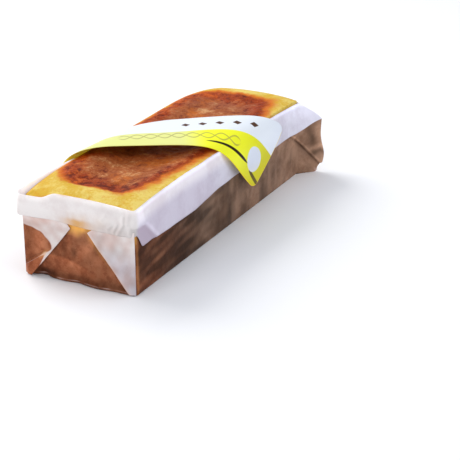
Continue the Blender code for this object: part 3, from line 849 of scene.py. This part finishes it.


# lighter (above 0) and darker places of the case, as rows for marks; many are painted highlights and painted shade
caseTones = {
    "frontWall": [
        (-0.35,), (1.75, "swelling"), (0.35, "streaks", (rise, "z", 14, 6)), (0.12, "spots"),
        (0.5, (hill, "beamLeft", 0, 4), (rise, "z", 12, 8)),
        (0.9, (hill, "y", 2.5, 2), (hill, "z", 36, 2.5)),                           # a painted highlight between the ears' tips
        (-0.9, (fall, "z", 9, 5)), (-0.5, (hill, "y", 23, 6), (fall, "z", 11, 8)),  # the foot, darker: painted shade where the wall turns in at its base
    ],
    "sideWalls": [
        # on the right wall: painted shadow, deep near the front and fading towards the far end, and painted shade
        # in bands by the label's near and far edges, most lower down by the far one
        (-1.55, "toRight", (fall, "x", 90, 180)), (-0.45, "toRight", (hill, "x", 5, 30)),
        (-0.255, "toRight", (hill, "x", 72, 22)), (-0.595, "toRight", (hill, "x", 72, 22), (fall, "z", 42, 18)),
        (0.55, "slanting", (fall, "x", 20, 60)), (0.35, "upright", (rise, "x", -40, 60)),
        (0.3, "folds", (rise, "x", -40, 60)),
        (2.4, "onRight", (hill, "x", -129, 1.8), (fall, "z", 41, 3)),               # the near corner's edge
    ],
    # the far corner's ear: painted highlights over its crease and second fold with painted shade under them,
    # painted highlights on its lowest facets and near the tip, and a darker patch
    "farEar": [
        (0.9, "share", (fall, "z", 14, 6)),
        (1.6, (rise, "x", 101, 5), (hill, "above", 1.0, 1.1)),
        (-1.3, (rise, "x", 101, 5), (hill, "above", -1.3, 1.1)),
        (0.35, "share", (fall, "above", 0, 4)),
        (1.1, (rise, "share", 0.45, 0.12), (rise, "above", -1, 2), (hill, "second", 2.2, 2)),
        (-1.3, (rise, "share", 0.45, 0.12), (rise, "above", -1, 2), (hill, "second", -2, 2.6)),
        (-0.7, (hill, "share", 0.66, 0.13), (hill, "above", 15, 6)),
        (1.2, (hill, "share", 0.95, 0.20), (hill, "above", 26, 8)),
    ],
    # painted light: the right cuff is brighter above its middle and at the top of its cut end, with painted shade
    # low on its near part
    "rightCuff": [
        (1.0, (fall, "cutEdge", 3, 3), (rise, "z", 49, 3)), (0.9, "high"), (-0.5, "low", (fall, "x", 60, 60)),
    ],
    # a painted highlight along the rim, weaker on the front; the front cuff is duller towards the right and its hem
    "rim": [(2.0, (rise, "fromRim", -4.2, 4.2)), (-0.7, "onFront", (rise, "fromRim", -4.2, 4.2))],
    # in the front cuff, painted shade along each crease and a painted highlight beside it
    "frontCuff": [(0.7, "creaseLight"), (-1.5, "creaseDark"), (-0.35, (fall, "y", -8, 22))],
    "glowing": [(0.9, "wallGlow"), (0.5, "beam"), (-0.35, "hem"), (-0.45, "hem", (fall, "y", 4, 30))],
    # painted shade darkens the right cuff's cut end below its fold, and a painted highlight lies on the fold itself
    "cutEnd": [
        (-1.05, "cutEnd"),
        (1.3, "onCuff", "onRight", (hill, "slant", 1.2, 1.2), (fall, "x", -96, 8), (fall, "z", 50, 3)),
    ],
    # on the side cuffs: painted light towards the far corner, and a painted shadow of the label beside its far edge
    "sideCuffs": [(0.4, "toRight", (rise, "x", 108, 20)), (-0.9, "toRight", (hill, "x", 84, 16))],
}
toneLimits = (-1.75, 3.0)

# the case's other places, as rows for marks; a row may use the places above it
casePlaces = {
    "cutEnd": [(1.0, "onCuff", "onRight", (fall, "slant", 0, 1.5), (fall, "x", -92, 10), (fall, "z", 48.5, 1.5))],
    "wet": [(1.0, (fall, "dryHeight", 49.5, 4))],
    "wallGlow": [(1.0, "frontWall", "wet", (rise, "glowHeight", 33.3, 6))],
    "beam": [(0.5, "frontWall", (hill, "beamRight", 0, 4), (rise, "z", 12, 22))],
    "nearEdge": [(0.4, "onRight", "beside", "onWall", (hill, "x", -129, 1.8), (fall, "z", 41, 3))],
    "upwards": [(0.85, (fall, "z", 48.5, 3.5)), (0.18, (fall, "z", 53, 8)), (0.15, "stripes", (fall, "z", 53, 8))],
    "cream": [(0.10, "frontCuff", "creamPatch"), (0.05, "frontCuff", "creamPatch", "creamEdge")],
    # a painted highlight along the front's bottom edge: less soak there, so the paper shows paler
    "baseLine": [(0.75, "frontWall", (hill, "z", 1.7, 0.7)), (0.2, "frontWall", "footEdge", (hill, "z", 1.7, 0.7))],
    # a painted highlight between the ears' tips: less soak and a lighter tone
    "point": [(1.0, "onFront", (hill, "y", 2.5, 2), (hill, "z", 36, 2.5))],
    # a painted highlight on the ear's lower facet: soak is taken off there, so the paper shows paler
    "gloss": [(1.0, "onWall", (hill, "share", 0.78, 0.14), (hill, "above", -10, 4))],
    # violet: painted shade in lavender on the right cuff's near part, less high up, and more on the cut end's dark
    # facet
    "violet": [(0.35, "rightCuff", (fall, "x", 10, 60)), (-0.25, "rightCuff", "high", (fall, "x", 10, 60)),
               (0.55, "rightCuff", "cutEnd")],
    # cool: the sides' painted shade, cooler whites and greyer browns, less on the wall near the front; warmer takes
    # some of it off the top of the right cuff's near part
    "cool": [(1.0, "beside"), (-0.9, "beside", "onWall", (fall, "x", -28, 90))],
    "warmer": [(0.6, "rightCuff", "high", (fall, "x", 60, 80))],
    "lit": [(1.0, "onWall", "toWindow", (rise, "z", 50, 4)), (0.6, "rightCuff", (rise, "fromRim", -2.6, 2))],
}


def caseMasks(f):
    # sums and products of steps and bells; soak: the sheet lies on the crust and shows it; glow: the golden
    # rim shines through; grey: cooler, the sides' painted shade; violet: lavender painted shade; tone: lighter or
    # darker, much of it painted highlights and painted shade; lit: painted light as emission, the window shining
    # through and a highlight along the right cuff's rim
    f.dryHeight, f.glowHeight = f.z + f.dryEdge, f.z + 1.5 * f.glowEdge
    f.frontWall, f.frontCuff = f.onFront * f.onWall, f.onFront * f.onCuff
    f.creamPatch = hill(f.y, -12, 17) * fall(f.z, 55, 8)
    f.toWindow = np.maximum(rise(f.y, 38, 3), f.onFront)
    f.creaseLight, f.creaseDark = creaseField(f.grid - [0, 1.6, 0], 1.3), creaseField(f.grid, 0.9)
    for name, rows in casePlaces.items():
        setattr(f, name, marks(f, rows))
    cuffGlow = f.frontCuff * hill(f.y, -0.5, 8.5) * np.clip(f.upwards, 0, 0.9)
    glow = np.maximum.reduce([f.wallGlow, cuffGlow, f.beam, f.nearEdge]) + f.cream
    # towards its hem the front cuff is as dull and pink as the ears under it
    f.hem = f.frontCuff * fall(f.z, 53, 10) * (1 - cuffGlow)
    soak = f.onWall * f.wet * (1 - 0.62 * f.baseLine) * (1 - 0.35 * f.point) - 0.5 * f.gloss + 0.13 * f.hem
    t = {name: marks(f, rows) for name, rows in caseTones.items()}
    tone = f.frontWall * t["frontWall"] + f.beside * f.onWall * t["sideWalls"] + f.onWall * t["farEar"]
    tone = tone + f.rightCuff * t["rightCuff"] + f.beside * f.onCuff * t["sideCuffs"] + t["cutEnd"]
    tone = np.clip(tone + f.frontCuff * t["frontCuff"] + t["rim"] + t["glowing"], *toneLimits)
    return {"soak": soak, "glow": glow, "grey": f.cool * (1 - f.warmer), "tone": tone, "lit": f.lit,
            "violet": f.violet}


# the two folded ears on the front end

earSizes = {
    "left": {"side": 1, "tip": (5.0, 39.6), "slope": 0.82, "edgeTop": 8.0},
    "right": {"side": -1, "tip": (7.8, 38.9), "slope": 0.80, "edgeTop": 11.8},
    "top": 45.0, "low": 0.8, "corner": 42.8, "columns": 110, "rows": 110,
    # how far it stands off the wall, and further along its slanting edge; how far the cuff presses it in
    "off": 0.3, "lift": 0.30, "edgeLift": 0.5, "flush": 0.22,
    "wave": (0.25, 18, 31), "fineWave": (0.08, 6, 33),
    # the left ear's fold: a place on its line, its slope, and how far it stands out
    "foldPlace": (21.5, 21.8), "foldSlope": -0.675, "fold": 0.9, "footFold": 1.1, "groove": 0.5,
}


def earFields(y, z, toEdge):
    # under: how far below the left ear's fold line
    placeY, placeZ = earSizes["foldPlace"]
    line = placeZ + earSizes["foldSlope"] * (y - placeY)
    return SimpleNamespace(y=y, z=z, toEdge=toEdge, under=line - z)


def makeEar(which, material):
    # rows straight from the corner to the slanting edge, which runs from the tip down to the base, moved off
    # the wall by bells, steps and ripples
    e = earSizes
    ear = e[which]
    c = caseSizes
    z = blend(e["low"], e["top"], np.linspace(0, 1, e["rows"])[:, None])
    tipY, tipZ = ear["tip"]
    slant = tipY + (tipZ - z) * ear["slope"]
    above = blend(tipY, ear["edgeTop"], np.clip((z - tipZ) / 3, 0, 1))
    edge = np.where(z < tipZ, slant, above)
    y = blend(e["corner"], edge, np.linspace(0, 1, e["columns"])[None])
    z = z + 0 * y
    f = earFields(y, z, y - edge)
    hem = cuffHeight(np.full_like(y, -c["halfLength"]), y * ear["side"])
    out = e["off"] + e["lift"] * fall(y, e["corner"], 3) + e["edgeLift"] * hill(f.toEdge, 0, 3) * fall(z, 43, 4)
    out = out + e["flush"] * hill(z, hem - 1, 3.6)
    points = np.stack([-c["halfLength"] - out, y * ear["side"], z], -1)
    (height, size, seed), fineWave = e["wave"], e["fineWave"]
    wave = height * (ripple(points, size, seed + ear["side"]) + 0.5) + ripples(points, [fineWave])
    wave = np.clip(wave, 0, None)
    if which == "left":
        wave = wave + e["fold"] * rise(f.under, 0, 3) * rise(y, 22, 4)
        wave = wave + e["footFold"] * hill(z, 5, 6) * hill(y, 37, 7)
        wave = wave - e["groove"] * hill(f.under, -1.2, 1.6) * rise(y, 24, 5)
    points[..., 0] -= wave * fall(y, e["corner"], 4) * fall(z, 43, 5)
    f.y = y * ear["side"]
    masks = leftEarMasks(points, f) if which == "left" else rightEarMasks(points, f)
    piece = makePiece("earFlap" + which.capitalize(), points, False, masks, material, flip=which == "left")
    thicken(piece, c["sheet"] * 0.001, 1)


# the left ear's soaked oval, in y and z
soakPatch = {"middle": (42.0, 21.0), "reach": (21.5, 15.2), "edge": (0.90, 0.16)}

# the ears' soaked and lighter or darker places, as rows for marks
earMarks = {
    "band": [(0.20,), (0.16, (rise, "z", 33, 8), (rise, "y", 17, 10)), (0.05, "bandEdge")],
    # the left ear's tone: painted highlights on the patch near y 30, and painted shade in the groove above the fold
    "left": [
        (0.8, "corner"), (0.1, "arc"), (-0.6, "dry"), (0.8, "outside", (rise, "z", 37, 6)),
        (-0.5, (hill, "under", -1.5, 1.2), (rise, "y", 30, 5)), (0.4, "arc", (hill, "y", 31, 5)),
        (0.5, "arc", (hill, "y", 30.5, 4), (hill, "z", 27, 5)), (-0.45, (hill, "y", 39, 5), (hill, "z", 27, 9)),
    ],
    "rightSoak": [(0.22,), (0.10, (hill, "y", -24, 7), (hill, "z", 35, 9)), (0.06, "patches")],
    "right": [
        (0.3,), (-0.8, (fall, "z", 45, 9)), (-0.6, (fall, "z", 38, 16)),
        (0.7, (hill, "toEdge", 0, 1.6)), (0.3, "cloud"),
    ],
}


def leftEarMasks(points, f):
    # the crust shows in a round patch above the fold and in the corner below it
    p = soakPatch
    away = np.hypot((f.y - p["middle"][0]) / p["reach"][0], (f.z - p["middle"][1]) / p["reach"][1])
    f.arc = 1 - rise(away + 0.03 * ripple(points, 8, 41), *p["edge"])
    f.outside = 1 - f.arc
    below = rise(f.under, 0, 1.5)
    f.corner = below * rise(f.y - 0.5 * (17 - f.z), 24.5, 3)
    f.bandEdge = ripple(points, 9, 43)
    soak = np.maximum(np.maximum(f.arc * (1 - below), f.corner), marks(f, earMarks["band"]))
    f.dry = 1 - soak
    # a painted highlight on the fold: less soak, with a little glow
    highlightSpot = hill(f.y, 27, 3) * hill(f.under, 0.5, 1.6)
    soak = np.clip(soak * (1 - 0.55 * highlightSpot), 0, 1)
    return {"soak": soak, "glow": 0.45 * highlightSpot, "grey": 0 * f.z, "tone": marks(f, earMarks["left"])}


def rightEarMasks(points, f):
    # pink paper, darker towards the bottom, with a painted highlight and a golden glow along its slanting edge
    f.patches, f.cloud = ripple(points, 10, 42), ripple(points, 14, 44)
    soak = np.clip(marks(f, earMarks["rightSoak"]), 0, 1)
    glow = 0.35 * hill(f.toEdge, 0, 1.2) * fall(f.z, 38, 10)
    return {"soak": soak, "glow": glow, "grey": 0.7 * fall(f.z, 36, 20), "tone": marks(f, earMarks["right"])}


paperColors = {
    "white": srgb(240, 234, 231), "shade": srgb(230, 221, 218), "pink": srgb(208, 170, 158),
    # the cool whites and the grey browns are the paper in painted shade on the sides
    "coolWhite": srgb(227, 224, 236), "coolShade": srgb(212, 206, 219), "lavenderShade": srgb(210, 192, 209),
    "brown": srgb(144, 84, 56), "darkBrown": srgb(108, 56, 36), "lightBrown": srgb(174, 112, 80),
    "greyBrown": srgb(166, 131, 108), "darkGrey": srgb(136, 103, 82), "glow": srgb(216, 160, 80),
    "through": srgb(214, 228, 255),
}


paperLook = {
    # scale and share of fine noise
    "cloud": (42, 0.3), "fibre": (700, 0.5), "crease": (75, 0.25), "speckle": (170, 0.4),
    "pink": 0.8, "glow": 0.9, "through": 0.26, "dryTone": 0.14, "soakedTone": 0.30,
    "roughness": (0.58, 0.42), "specular": 0.03, "bump": (0.35, 0.0012),
}


def makePaperMaterial():
    # white paper, pink where a soaked place starts, brown inside it; warm on the front, and on the sides cooler
    # whites and greyer browns as painted shade
    material, tree, shader = newMaterial("parchmentPaper")
    c, k = paperColors, paperLook
    place = coordinates(tree, "Object")
    cloud, fibre, crease, speckle = (
        mottle(tree, place, *k[name]) for name in ("cloud", "fibre", "crease", "speckle"))
    soak, glow, grey, tone, lit, violet = (
        attribute(tree, name) for name in ("soak", "glow", "grey", "tone", "lit", "violet"))
    warmWhite = over(tree, c["white"], c["shade"], cloud, 0.40, 0.64)
    coolWhite = over(tree, c["coolWhite"], c["coolShade"], cloud, 0.40, 0.64)
    # violet mixes in the lavender of painted shade
    white = mixColor(tree, violet, mixColor(tree, grey, warmWhite, coolWhite), c["lavenderShade"])
    brown = over(tree, c["brown"], c["lightBrown"], cloud, 0.44, 0.68)
    brown = over(tree, brown, c["lightBrown"], speckle, 0.50, 0.62, 0.32)
    brown = over(tree, brown, c["darkBrown"], speckle, 0.48, 0.38, 0.34)
    brown = over(tree, brown, c["darkBrown"], cloud, 0.50, 0.34, 0.7)
    # on the sides the brown turns greyer: painted shade
    brown = mixColor(tree, grey, brown, over(tree, c["greyBrown"], c["darkGrey"], cloud, 0.62, 0.38))
    edge = plus(tree, soak, times(tree, minus(tree, cloud, 0.5), 0.2))
    color = over(tree, white, c["pink"], edge, 0.05, 0.45, k["pink"])
    color = over(tree, color, brown, edge, 0.35, 0.75)
    color = mixColor(tree, times(tree, glow, k["glow"]), color, c["glow"])
    strength = plus(tree, times(tree, soak, k["soakedTone"]), k["dryTone"])
    color = mixColor(tree, 1.0, color, plus(tree, times(tree, tone, strength), 1.0), "MULTIPLY")
    # the light comes through only on the faces turned to the far right
    normal = parts(tree, coordinates(tree, "Normal"))
    lit = times(tree, lit, mapRange(tree, minus(tree, normal[0], normal[1]), 0.3, 0.9))
    height = plus(tree, times(tree, crease, 2.0), times(tree, fibre, 0.12))
    setInputs(tree, shader, {
        "Base Color": color, "Roughness": mapRange(tree, soak, 0.2, 0.8, *k["roughness"]),
        "Specular IOR Level": k["specular"], "Normal": bumpNormal(tree, height, *k["bump"]),
        "Emission Color": mixColor(tree, lit, black, c["through"]), "Emission Strength": k["through"]})
    return material


# the label strip

labelSizes = {
    "width": 56.9, "left": 92.0, "right": 88.2, "middle": -12.2, "turn": math.radians(34.0),
    "bow": 0.00164, "bend": 0.000007, "foot": 15.0, "corner": 6.0,
    "fallPower": 2.5, "card": 0.3, "columns": 330, "rows": 96, "crowding": 0.25, "steps": 4001,
}

# the arches that the strip's two long edges follow, seen along the loaf
frontArch = {"left": 50.0, "right": 50.0, "peak": 12.0, "top": 71.1, "leftFall": 9.4, "rightFall": 2.4,
             "leftPower": 7.9, "rightPower": 6.4}
farArch = {"left": 47.0, "right": 55.0, "peak": -5.0, "top": 70.8, "leftFall": 8.9, "rightFall": 3.7,
           "leftPower": 12.0, "rightPower": 5.4}


def archSection(arch):
    # a super-ellipse with its own half width and power on each side of the peak, falling towards both sides
    c = labelSizes
    turn = np.linspace(0, math.pi, c["steps"])
    onLeft = turn < math.pi / 2
    power = np.where(onLeft, arch["leftPower"], arch["rightPower"])
    half = np.where(onLeft, arch["left"] - arch["peak"], arch["right"] + arch["peak"])
    drop = np.where(onLeft, arch["leftFall"], arch["rightFall"])
    y = half * np.sign(np.cos(turn)) * np.abs(np.cos(turn)) ** (2 / power)
    top = arch["top"] - drop * (np.abs(y) / half) ** c["fallPower"]
    z = c["foot"] + (top - c["foot"]) * np.abs(np.sin(turn)) ** (2 / power)
    length = np.concatenate([[0], np.cumsum(np.hypot(np.diff(y), np.diff(z)))])
    return y + arch["peak"], z, length - np.interp(math.pi / 2, turn, length) - arch["peak"]


def labelPoints(along, across):
    # the strip lies at a slant, ruled straight from its front edge's arch to its far edge's arch
    c = labelSizes
    turned = along * math.cos(c["turn"]) - across * math.sin(c["turn"])
    x = c["middle"] + along * math.sin(c["turn"]) + across * math.cos(c["turn"])
    x = x + c["bow"] * along ** 2 + c["bend"] * along ** 3
    share = across / c["width"] + 0.5
    ends = []
    for arch in (frontArch, farArch):
        yLine, zLine, length = archSection(arch)
        ends.append((np.interp(turned, length, yLine), np.interp(turned, length, zLine)))
    (yFront, zFront), (yFar, zFar) = ends
    return np.stack([x, blend(yFront, yFar, share), blend(zFront, zFar, share)], -1)


def makeLabel(material):
    # rows across the strip, shortened by the rounded corners near both ends; denser near the bends
    c = labelSizes
    spread = np.linspace(-1, 1, c["columns"])
    spread = blend(spread, np.sin(spread * math.pi / 2), c["crowding"])
    along = np.where(spread < 0, spread * c["left"], spread * c["right"])[None]
    toEnd = np.minimum(along + c["left"], c["right"] - along)
    cut = np.clip(c["corner"] - toEnd, 0, c["corner"])
    half = c["width"] / 2 - c["corner"] + np.sqrt(c["corner"] ** 2 - cut ** 2)
    across = np.linspace(-1, 1, c["rows"])[:, None] * half
    along = along + 0 * across
    grid = labelPoints(along, across)
    uv = np.stack([along, across], -1) * 0.001
    label = makePiece("labelStrip", grid, False, {}, material, uv=uv)
    thicken(label, c["card"] * 0.001, 1)
    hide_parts("label")


printColors = {
    "yellow": srgb(248, 250, 40), "sheenYellow": srgb(230, 233, 142), "shadedYellow": srgb(210, 203, 0),
    "white": srgb(235, 240, 246), "shadedWhite": srgb(228, 233, 243), "oval": srgb(220, 226, 238),
    "brown": srgb(84, 52, 34), "grey": srgb(140, 126, 80), "line": srgb(34, 18, 2), "under": srgb(246, 214, 50),
}


def ellipseMask(tree, along, across, centre, reach, turn, soft=0.06):
    # 1 where the squares of the turned ways from the centre, over the ellipse's radii, add up to less than 1
    shiftA, shiftB = minus(tree, along, centre[0]), minus(tree, across, centre[1])
    cosine, sine = math.cos(turn), math.sin(turn)
    partA = plus(tree, times(tree, shiftA, cosine), times(tree, shiftB, sine))
    partB = minus(tree, times(tree, shiftB, cosine), times(tree, shiftA, sine))
    squares = []
    for part, size in zip((partA, partB), reach):
        part = math2(tree, "DIVIDE", part, size)
        squares.append(times(tree, part, part))
    return mapRange(tree, plus(tree, *squares), 1 + soft, 1 - soft)


def lineMask(tree, along, across, curve, start, end, width):
    # 1 where the gap to the curve is less than the width times 1 less the fifth power of the way to its tips
    gap = math2(tree, "ABSOLUTE", minus(tree, across, curve))
    centre, reach = (start + end) / 2, (end - start) / 2
    part = math2(tree, "DIVIDE", minus(tree, along, centre), reach)
    taper = minus(tree, 1.0, math2(tree, "POWER", math2(tree, "ABSOLUTE", part), 5.0))
    room = minus(tree, times(tree, taper, width), gap)
    return mapRange(tree, room, -0.0001, 0.00025)


def polynomial(tree, value, terms):
    # terms[0] + terms[1] * value + terms[2] * value squared
    square = times(tree, value, value)
    first = plus(tree, times(tree, value, terms[1]), terms[0])
    return plus(tree, first, times(tree, square, terms[2]))


# places along and across the strip, in metres from its middle
labelPrint = {
    "sheenFade": (0.008, 0.030), "yellowShade": (0.050, 0.086), "whiteShade": (0.072, 0.092),
    "edgeSwing": 0.0024, "edgePace": 50.0, "edgeStart": -1.33, "edgeShift": 0.0007,
    "oval": ((0.0716, -0.0121), (0.0095, 0.0083), -1.01),
    "lines": [((-0.0186, 0.012, -0.2), 0.0265, 0.067, 0.0014), ((-0.0090, -0.17, 0.0), 0.071, 0.096, 0.0015)],
    "diamonds": [(0.016, 0.0130), (0.028, 0.0138), (0.040, 0.0146), (0.052, 0.0154), (0.064, 0.0160)],
    "diamondSize": 0.0032,
    "braidStart": -0.036, "braidEnd": 0.054, "braidLine": -0.0092, "braidPace": 0.020, "braidReach": 0.0045,
    "braidWidth": 0.0013, "braidStrength": 0.6, "braidTip": 0.004, "sharp": 0.0002,
    "roughness": 0.35, "specular": 0.1, "coat": 0.05, "coatRoughness": 0.15, "underLight": 0.12,
}


def braid(tree, along, across):
    # 1 near the closer of two mirrored sine waves along the strip, between its two ends
    p = labelPrint
    lift = minus(tree, across, p["braidLine"])
    turn = times(tree, minus(tree, along, p["braidStart"]), 2 * math.pi / p["braidPace"])
    wave = times(tree, math2(tree, "SINE", turn), p["braidReach"])
    first = math2(tree, "ABSOLUTE", minus(tree, lift, wave))
    second = math2(tree, "ABSOLUTE", plus(tree, lift, wave))
    away = math2(tree, "MINIMUM", first, second)
    line = mapRange(tree, away, p["braidWidth"], p["braidWidth"] * 0.4)
    inside = mapRange(tree, along, p["braidStart"], p["braidStart"] + p["braidTip"])
    before = mapRange(tree, along, p["braidEnd"], p["braidEnd"] - p["braidTip"])
    return times(tree, line, times(tree, inside, before))


def makePrintMaterial():
    # a yellow and a white field with a wavy border, with a painted sheen paling the yellow towards the left and
    # painted shade on both towards the right end, then the braid, lines, oval and diamonds
    material, tree, shader = newMaterial("glossyPrint")
    c, p = printColors, labelPrint
    strip = tree.nodes.new("ShaderNodeUVMap")
    strip.uv_map = "strip"
    along, across = parts(tree, strip.outputs[0])[:2]
    turn = plus(tree, times(tree, along, p["edgePace"]), p["edgeStart"])
    swing = times(tree, math2(tree, "SINE", turn), p["edgeSwing"])
    edge = minus(tree, minus(tree, across, swing), p["edgeShift"])
    # painted light: a paler yellow for the sheen on the left, and shaded yellow and white towards the right end
    yellow = over(tree, c["sheenYellow"], c["yellow"], along, *p["sheenFade"])
    yellow = over(tree, yellow, c["shadedYellow"], along, *p["yellowShade"])
    white = over(tree, c["white"], c["shadedWhite"], along, *p["whiteShade"])
    color = over(tree, yellow, white, edge, -p["sharp"], p["sharp"])
    color = mixColor(tree, times(tree, braid(tree, along, across), p["braidStrength"]), color, c["grey"])
    for terms, start, end, width in p["lines"]:
        line = lineMask(tree, along, across, polynomial(tree, along, terms), start, end, width)
        color = mixColor(tree, line, color, c["line"])
    color = mixColor(tree, ellipseMask(tree, along, across, *p["oval"]), color, c["oval"])
    for centre in p["diamonds"]:
        gaps = [math2(tree, "ABSOLUTE", minus(tree, value, at)) for value, at in zip((along, across), centre)]
        limits = p["diamondSize"] + p["sharp"], p["diamondSize"] - p["sharp"]
        color = over(tree, color, c["brown"], plus(tree, *gaps), *limits)
    # the golden crust shines back on the underside
    below = mapRange(tree, parts(tree, coordinates(tree, "Normal"))[2], 0.0, -0.3)
    setInputs(tree, shader, {
        "Base Color": mixColor(tree, below, color, c["under"]), "Roughness": p["roughness"],
        "Specular IOR Level": p["specular"], "Coat Weight": p["coat"], "Coat Roughness": p["coatRoughness"],
        "Emission Color": mixColor(tree, below, black, c["under"]), "Emission Strength": p["underLight"]})
    return material


# camera, floor and lights

viewSizes = {
    "place": (-802.36, -446.02, 374.92), "yaw": -63.50, "pitch": 22.75,
    "lens": 104.3, "sensor": 36, "farthest": 20,
}


def makeCamera():
    # at its place, turned by yaw and tipped down by pitch
    v = viewSizes
    data = bpy.data.cameras.new("camera")
    data.lens = v["lens"]
    data.sensor_width = v["sensor"]
    data.clip_end = v["farthest"]
    camera = bpy.data.objects.new("camera", data)
    scene.collection.objects.link(camera)
    yaw, pitch = math.radians(v["yaw"]), math.radians(v["pitch"])
    back = Vector((math.sin(yaw) * math.cos(pitch), -math.cos(yaw) * math.cos(pitch), math.sin(pitch)))
    camera.location = toFrame(v["place"])
    camera.rotation_euler = (-back).to_track_quat("-Z", "Y").to_euler()
    scene.camera = camera


floorLook = {"side": 6.0, "color": (0.93, 0.93, 0.94, 1), "roughness": 0.7}


def makeFloor():
    # one square under the loaf
    material, tree, shader = newMaterial("paleFloor")
    setInputs(tree, shader, {"Base Color": floorLook["color"], "Roughness": floorLook["roughness"]})
    mesh = bpy.data.meshes.new("floor")
    side = floorLook["side"]
    mesh.from_pydata([(-side, -side, 0), (side, -side, 0), (side, side, 0), (-side, side, 0)], [], [(0, 1, 2, 3)])
    mesh.materials.append(material)
    floor = bpy.data.objects.new("floor", mesh)
    scene.collection.objects.link(floor)


lights = {
    "window": {"from": (0.35, 1.20, 1.15), "size": (1.3, 1.0), "power": 21, "color": (1.0, 0.985, 0.96)},
    "front": {"from": (-1.5, 0.35, 0.75), "size": (1.1, 0.8), "power": 6.5, "color": (1.0, 0.985, 0.965)},
    "above": {"from": (-0.2, -0.3, 1.7), "size": (1.3, 1.2), "power": 2, "color": (1.0, 1.0, 1.0)},
    "side": {"from": (0.25, -1.35, 1.05), "size": (1.5, 0.8), "power": 8.0, "color": (0.92, 0.95, 1.0)},
}
loafMiddle = (0, 0, 0.03)
skyLight = {"color": (0.88, 0.92, 1.0), "strength": 0.55}


def makeLights():
    # each lamp faces the loaf's middle from its place, in metres
    for name, light in lights.items():
        data = bpy.data.lights.new(name, "AREA")
        data.shape = "RECTANGLE"
        data.size, data.size_y = light["size"]
        data.energy = light["power"]
        data.color = light["color"]
        obj = bpy.data.objects.new(name, data)
        scene.collection.objects.link(obj)
        obj.location = light["from"]
        obj.rotation_euler = (Vector(loafMiddle) - obj.location).to_track_quat("-Z", "Y").to_euler()
    world = bpy.data.worlds.new("sky")
    world.use_nodes = True
    sky = world.node_tree.nodes["Background"]
    sky.inputs["Color"].default_value = (*skyLight["color"], 1)
    sky.inputs["Strength"].default_value = skyLight["strength"]
    scene.world = world
    scene.view_settings.view_transform = "Standard"


makeCamera()
makeFloor()
makeLights()
print("stage ready")
crust = makeCrustMaterial()
makeCake(crust)
print("cake ready")
paper = makePaperMaterial()
makeCase(paper)
makeEar("left", paper)
makeEar("right", paper)
print("paper ready")
makeLabel(makePrintMaterial())
print("label ready")
